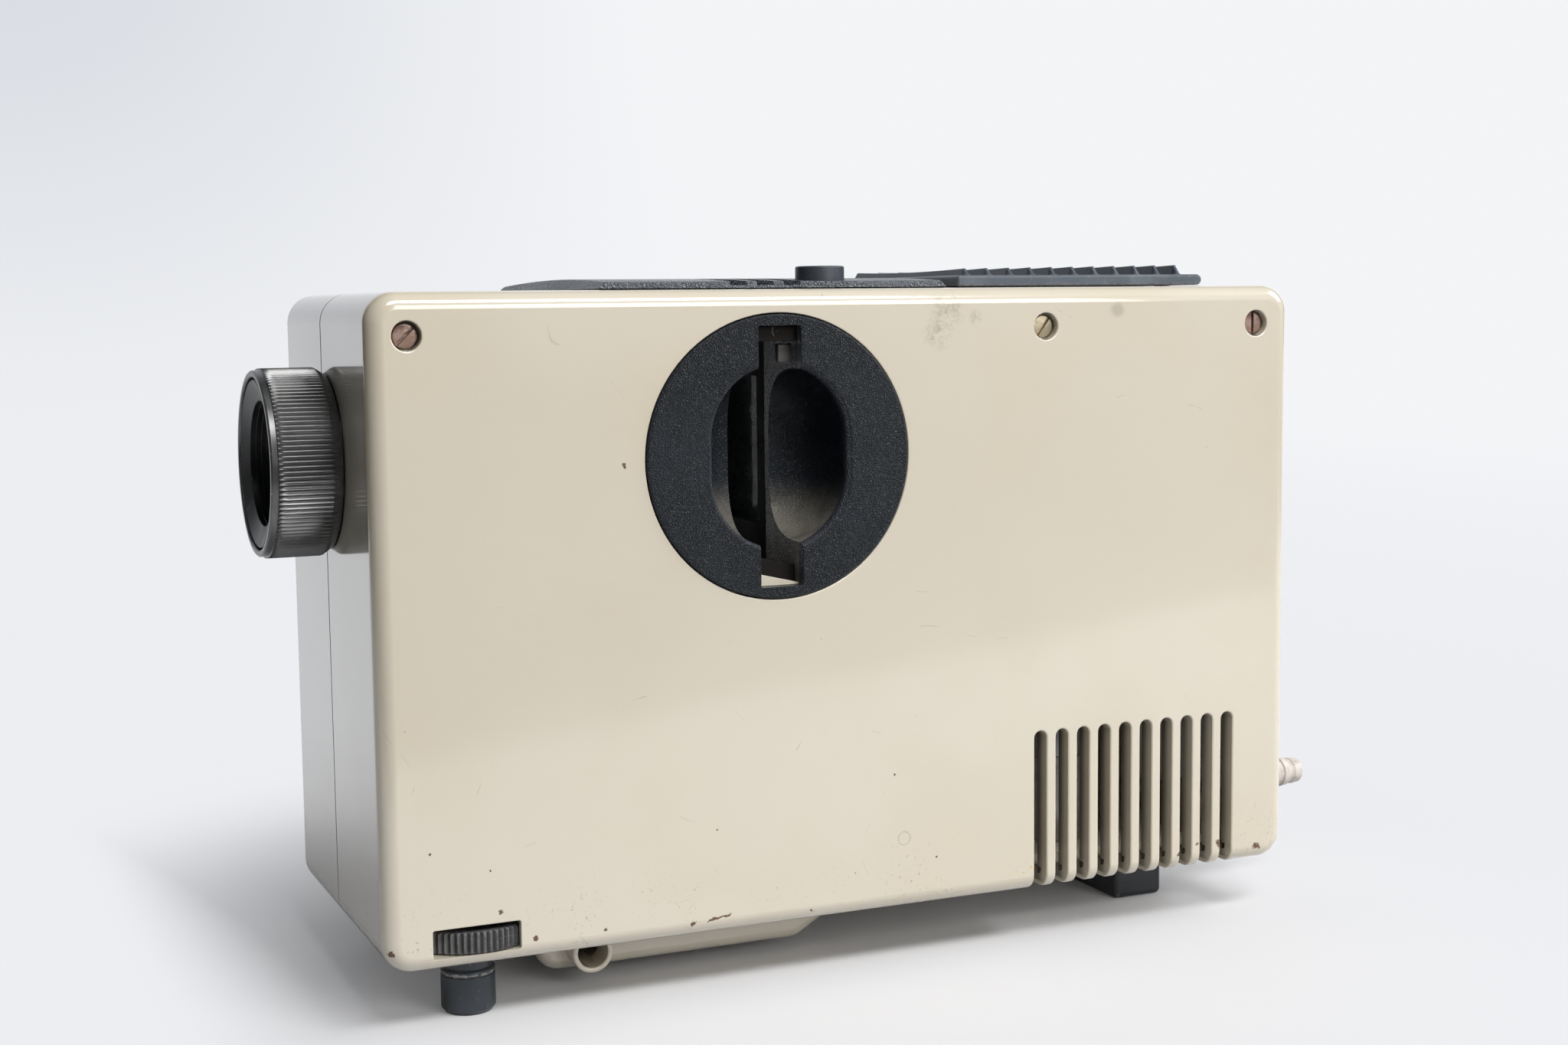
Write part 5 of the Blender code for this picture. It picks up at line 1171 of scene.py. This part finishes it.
kept = {"chassis_plate": chassisSteel, "condenser_tube": sleeveSteel,
        "filter_holder": chassisSteel, "near_heat_shield": chassisSteel,
        "far_heat_shield": chassisSteel, "fan_motor": sleeveSteel,
        "motor_stand": chassisSteel, "lens_sleeve": sleeveSteel,
        "near_foot_guide": chassisSteel, "far_foot_guide": chassisSteel,
        "front_condenser": innerGlass, "rear_condenser": innerGlass,
        "heat_filter": innerGlass, "rear_lens": frontGlass, "fan_impeller": gateBlack,
        "slide_gate": gateBlack, "lamp_socket": brown, "push_switch": brown,
        "terminal_block": brown, "transformer_core": brown}
for name, finish in kept.items():
    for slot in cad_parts[name].material_slots:
        slot.material = finish


# Stage: a pale sweep that grows into an even glow far behind, soft lights, the camera

photo = {"lens": 48.867, "place": (-0.2250, -0.49597, 0.15939),
         "yaw": 23.80, "down": 5.738, "roll": -0.636}
yaw, down, roll = (math.radians(photo[key]) for key in ("yaw", "down", "roll"))

stageSet = {"half": 7.0, "front": -6.0, "back": 3.2, "rise": 4.5, "bend": 1.6,
            "paper": (0.80, 0.805, 0.83), "glow": (0.900, 0.910, 0.930),
            "dusk": (0.69, 0.715, 0.76), "edge": 0.228, "softEdge": 0.03, "bounce": 0.55}
across = np.linspace(-stageSet["half"], stageSet["half"], 5)
bendAngle = np.linspace(0, np.pi / 2, 24)
sweepY = np.concatenate([[stageSet["front"]],
                         stageSet["back"] + stageSet["bend"] * np.sin(bendAngle),
                         [stageSet["back"] + stageSet["bend"]]])
sweepZ = np.concatenate([[0.0], stageSet["bend"] * (1 - np.cos(bendAngle)),
                         [stageSet["rise"]]])
sheet = np.stack([np.repeat(across[:, None], len(sweepY), 1),
                  np.repeat(sweepY[None], 5, 0), np.repeat(sweepZ[None], 5, 0)], -1)
floorMesh = bpy.data.meshes.new("studioSweep")
floorMesh.from_pydata(sheet.reshape(-1, 3).tolist(), [],
                      gridFaces(5, len(sweepY), wrapCols=False))
floorMesh.shade_smooth()
floor = objectOf(floorMesh, "studioSweep")


def sweepPaper():
    # White paper near the projector. What it sends into other surfaces ends at the
    # paper's front edge; further off the sheet glows by itself, so no horizon shows.
    f = Finish("palePaper")
    s = stageSet
    x, y, z = f.axis("X"), f.axis("Y"), f.axis("Z")
    seen = f.node("LightPath", output="Is Camera Ray")
    dull = f.node("LightPath", output="Is Diffuse Ray")
    aheadOf = (x - photo["place"][0]) * math.sin(yaw) + (y - photo["place"][1]) * math.cos(yaw)
    lit = seen.most(f.between(aheadOf, s["edge"] - s["softEdge"], s["edge"] + s["softEdge"],
                              0.10, 1.0))
    lit = lit * (1.0 - dull * (1.0 - s["bounce"])) * (1.0 - seen * 0.14)
    middle = f.node("VectorMath", {0: f.place}, "Value", operation="LENGTH")
    # round the projector the paper that the camera sees glows as well: painted light that lifts
    # the projector's cast shadow beside and behind it
    near = f.between(middle, 0.065, 0.27).most(f.between(0.0 - x, 0.112, 0.168))
    far = f.between(middle, 0.55, 1.5)
    behind = f.between(y, 0.02, 0.35) * f.between(x + y * 0.55, -0.65, -0.2)
    shown = seen.most(behind * (1.0 - dull))
    share = (near * shown).most(far * behind)
    # the glow is dimmed towards the upper left: painted shade on the backdrop
    backdropShade = f.between(x, 0.1, 1.9, 1.0, 0.0) * f.between(z, -0.6, 1.1)
    paperTone = f.mix((0.0, 0.0, 0.0), s["paper"], lit * (1.0 - share.most(far)))
    glow = f.mix((0.0, 0.0, 0.0), f.mix(s["glow"], s["dusk"], backdropShade), share)
    return f.done(paperTone, 0.6, 0.0, f.bump(f.noise(900, 2), 0.00002, 0.2),
                  shine=0.0, **{"Emission Color": glow, "Emission Strength": 1.0})


floorMesh.materials.append(sweepPaper())

lights = {
    "keyAbove": {"at": (0.22, -1.00, 1.35), "size": (1.1, 0.40), "power": 21.5,
                 "colour": (1.0, 0.99, 0.97)},
    "frontFill": {"at": (0.62, -1.62, 0.66), "size": (0.9, 0.75), "power": 13.0,
                  "colour": (1.0, 0.985, 0.96)},
    "rightSoft": {"at": (1.25, -0.35, 0.85), "size": (0.7, 0.7), "power": 11.0,
                  "colour": (0.97, 0.98, 1.0)}}
for name, light in lights.items():
    data = bpy.data.lights.new(name, "AREA")
    data.shape = "RECTANGLE"
    data.size, data.size_y = light["size"]
    data.energy = light["power"]
    data.color = light["colour"]
    lamp = objectOf(data, name)
    lamp.location = light["at"]
    aim = Vector((0.0, 0.0, 0.08)) - Vector(light["at"])
    lamp.rotation_euler = aim.to_track_quat("-Z", "Y").to_euler()
    lamp.visible_camera = False

world = bpy.data.worlds.new("studio")
bpy.context.scene.world = world
world.use_nodes = True
sky = Finish("studio", world)
skyLight = {"room": 0.09, "seen": 0.90, "colour": (0.955, 0.975, 1.0)}
seen = sky.node("LightPath", output="Is Camera Ray")
sky.shown(sky.node("Background", {
    "Color": skyLight["colour"],
    "Strength": skyLight["room"] + seen * (skyLight["seen"] - skyLight["room"])}), "World")
bpy.context.scene.view_settings.view_transform = "Standard"
bpy.context.scene.view_settings.look = "None"

ahead = np.array([math.sin(yaw) * math.cos(down), math.cos(yaw) * math.cos(down),
                  -math.sin(down)])
right = np.array([math.cos(yaw), -math.sin(yaw), 0.0])
above = np.cross(right, ahead)
rolled = math.cos(roll) * right + math.sin(roll) * above
above = np.cross(rolled, ahead)
camera = bpy.data.cameras.new("photoCamera")
camera.lens = photo["lens"]
camera.sensor_width = 36.0
camera.clip_start = 0.01
camera.clip_end = 50.0
cameraItem = objectOf(camera, "photoCamera")
cameraMatrix = np.eye(4)
cameraMatrix[:3, 0], cameraMatrix[:3, 1], cameraMatrix[:3, 2] = rolled, above, -ahead
cameraMatrix[:3, 3] = photo["place"]
cameraItem.matrix_world = Matrix(cameraMatrix.tolist())
bpy.context.scene.camera = cameraItem
print("stage, lights and camera set")
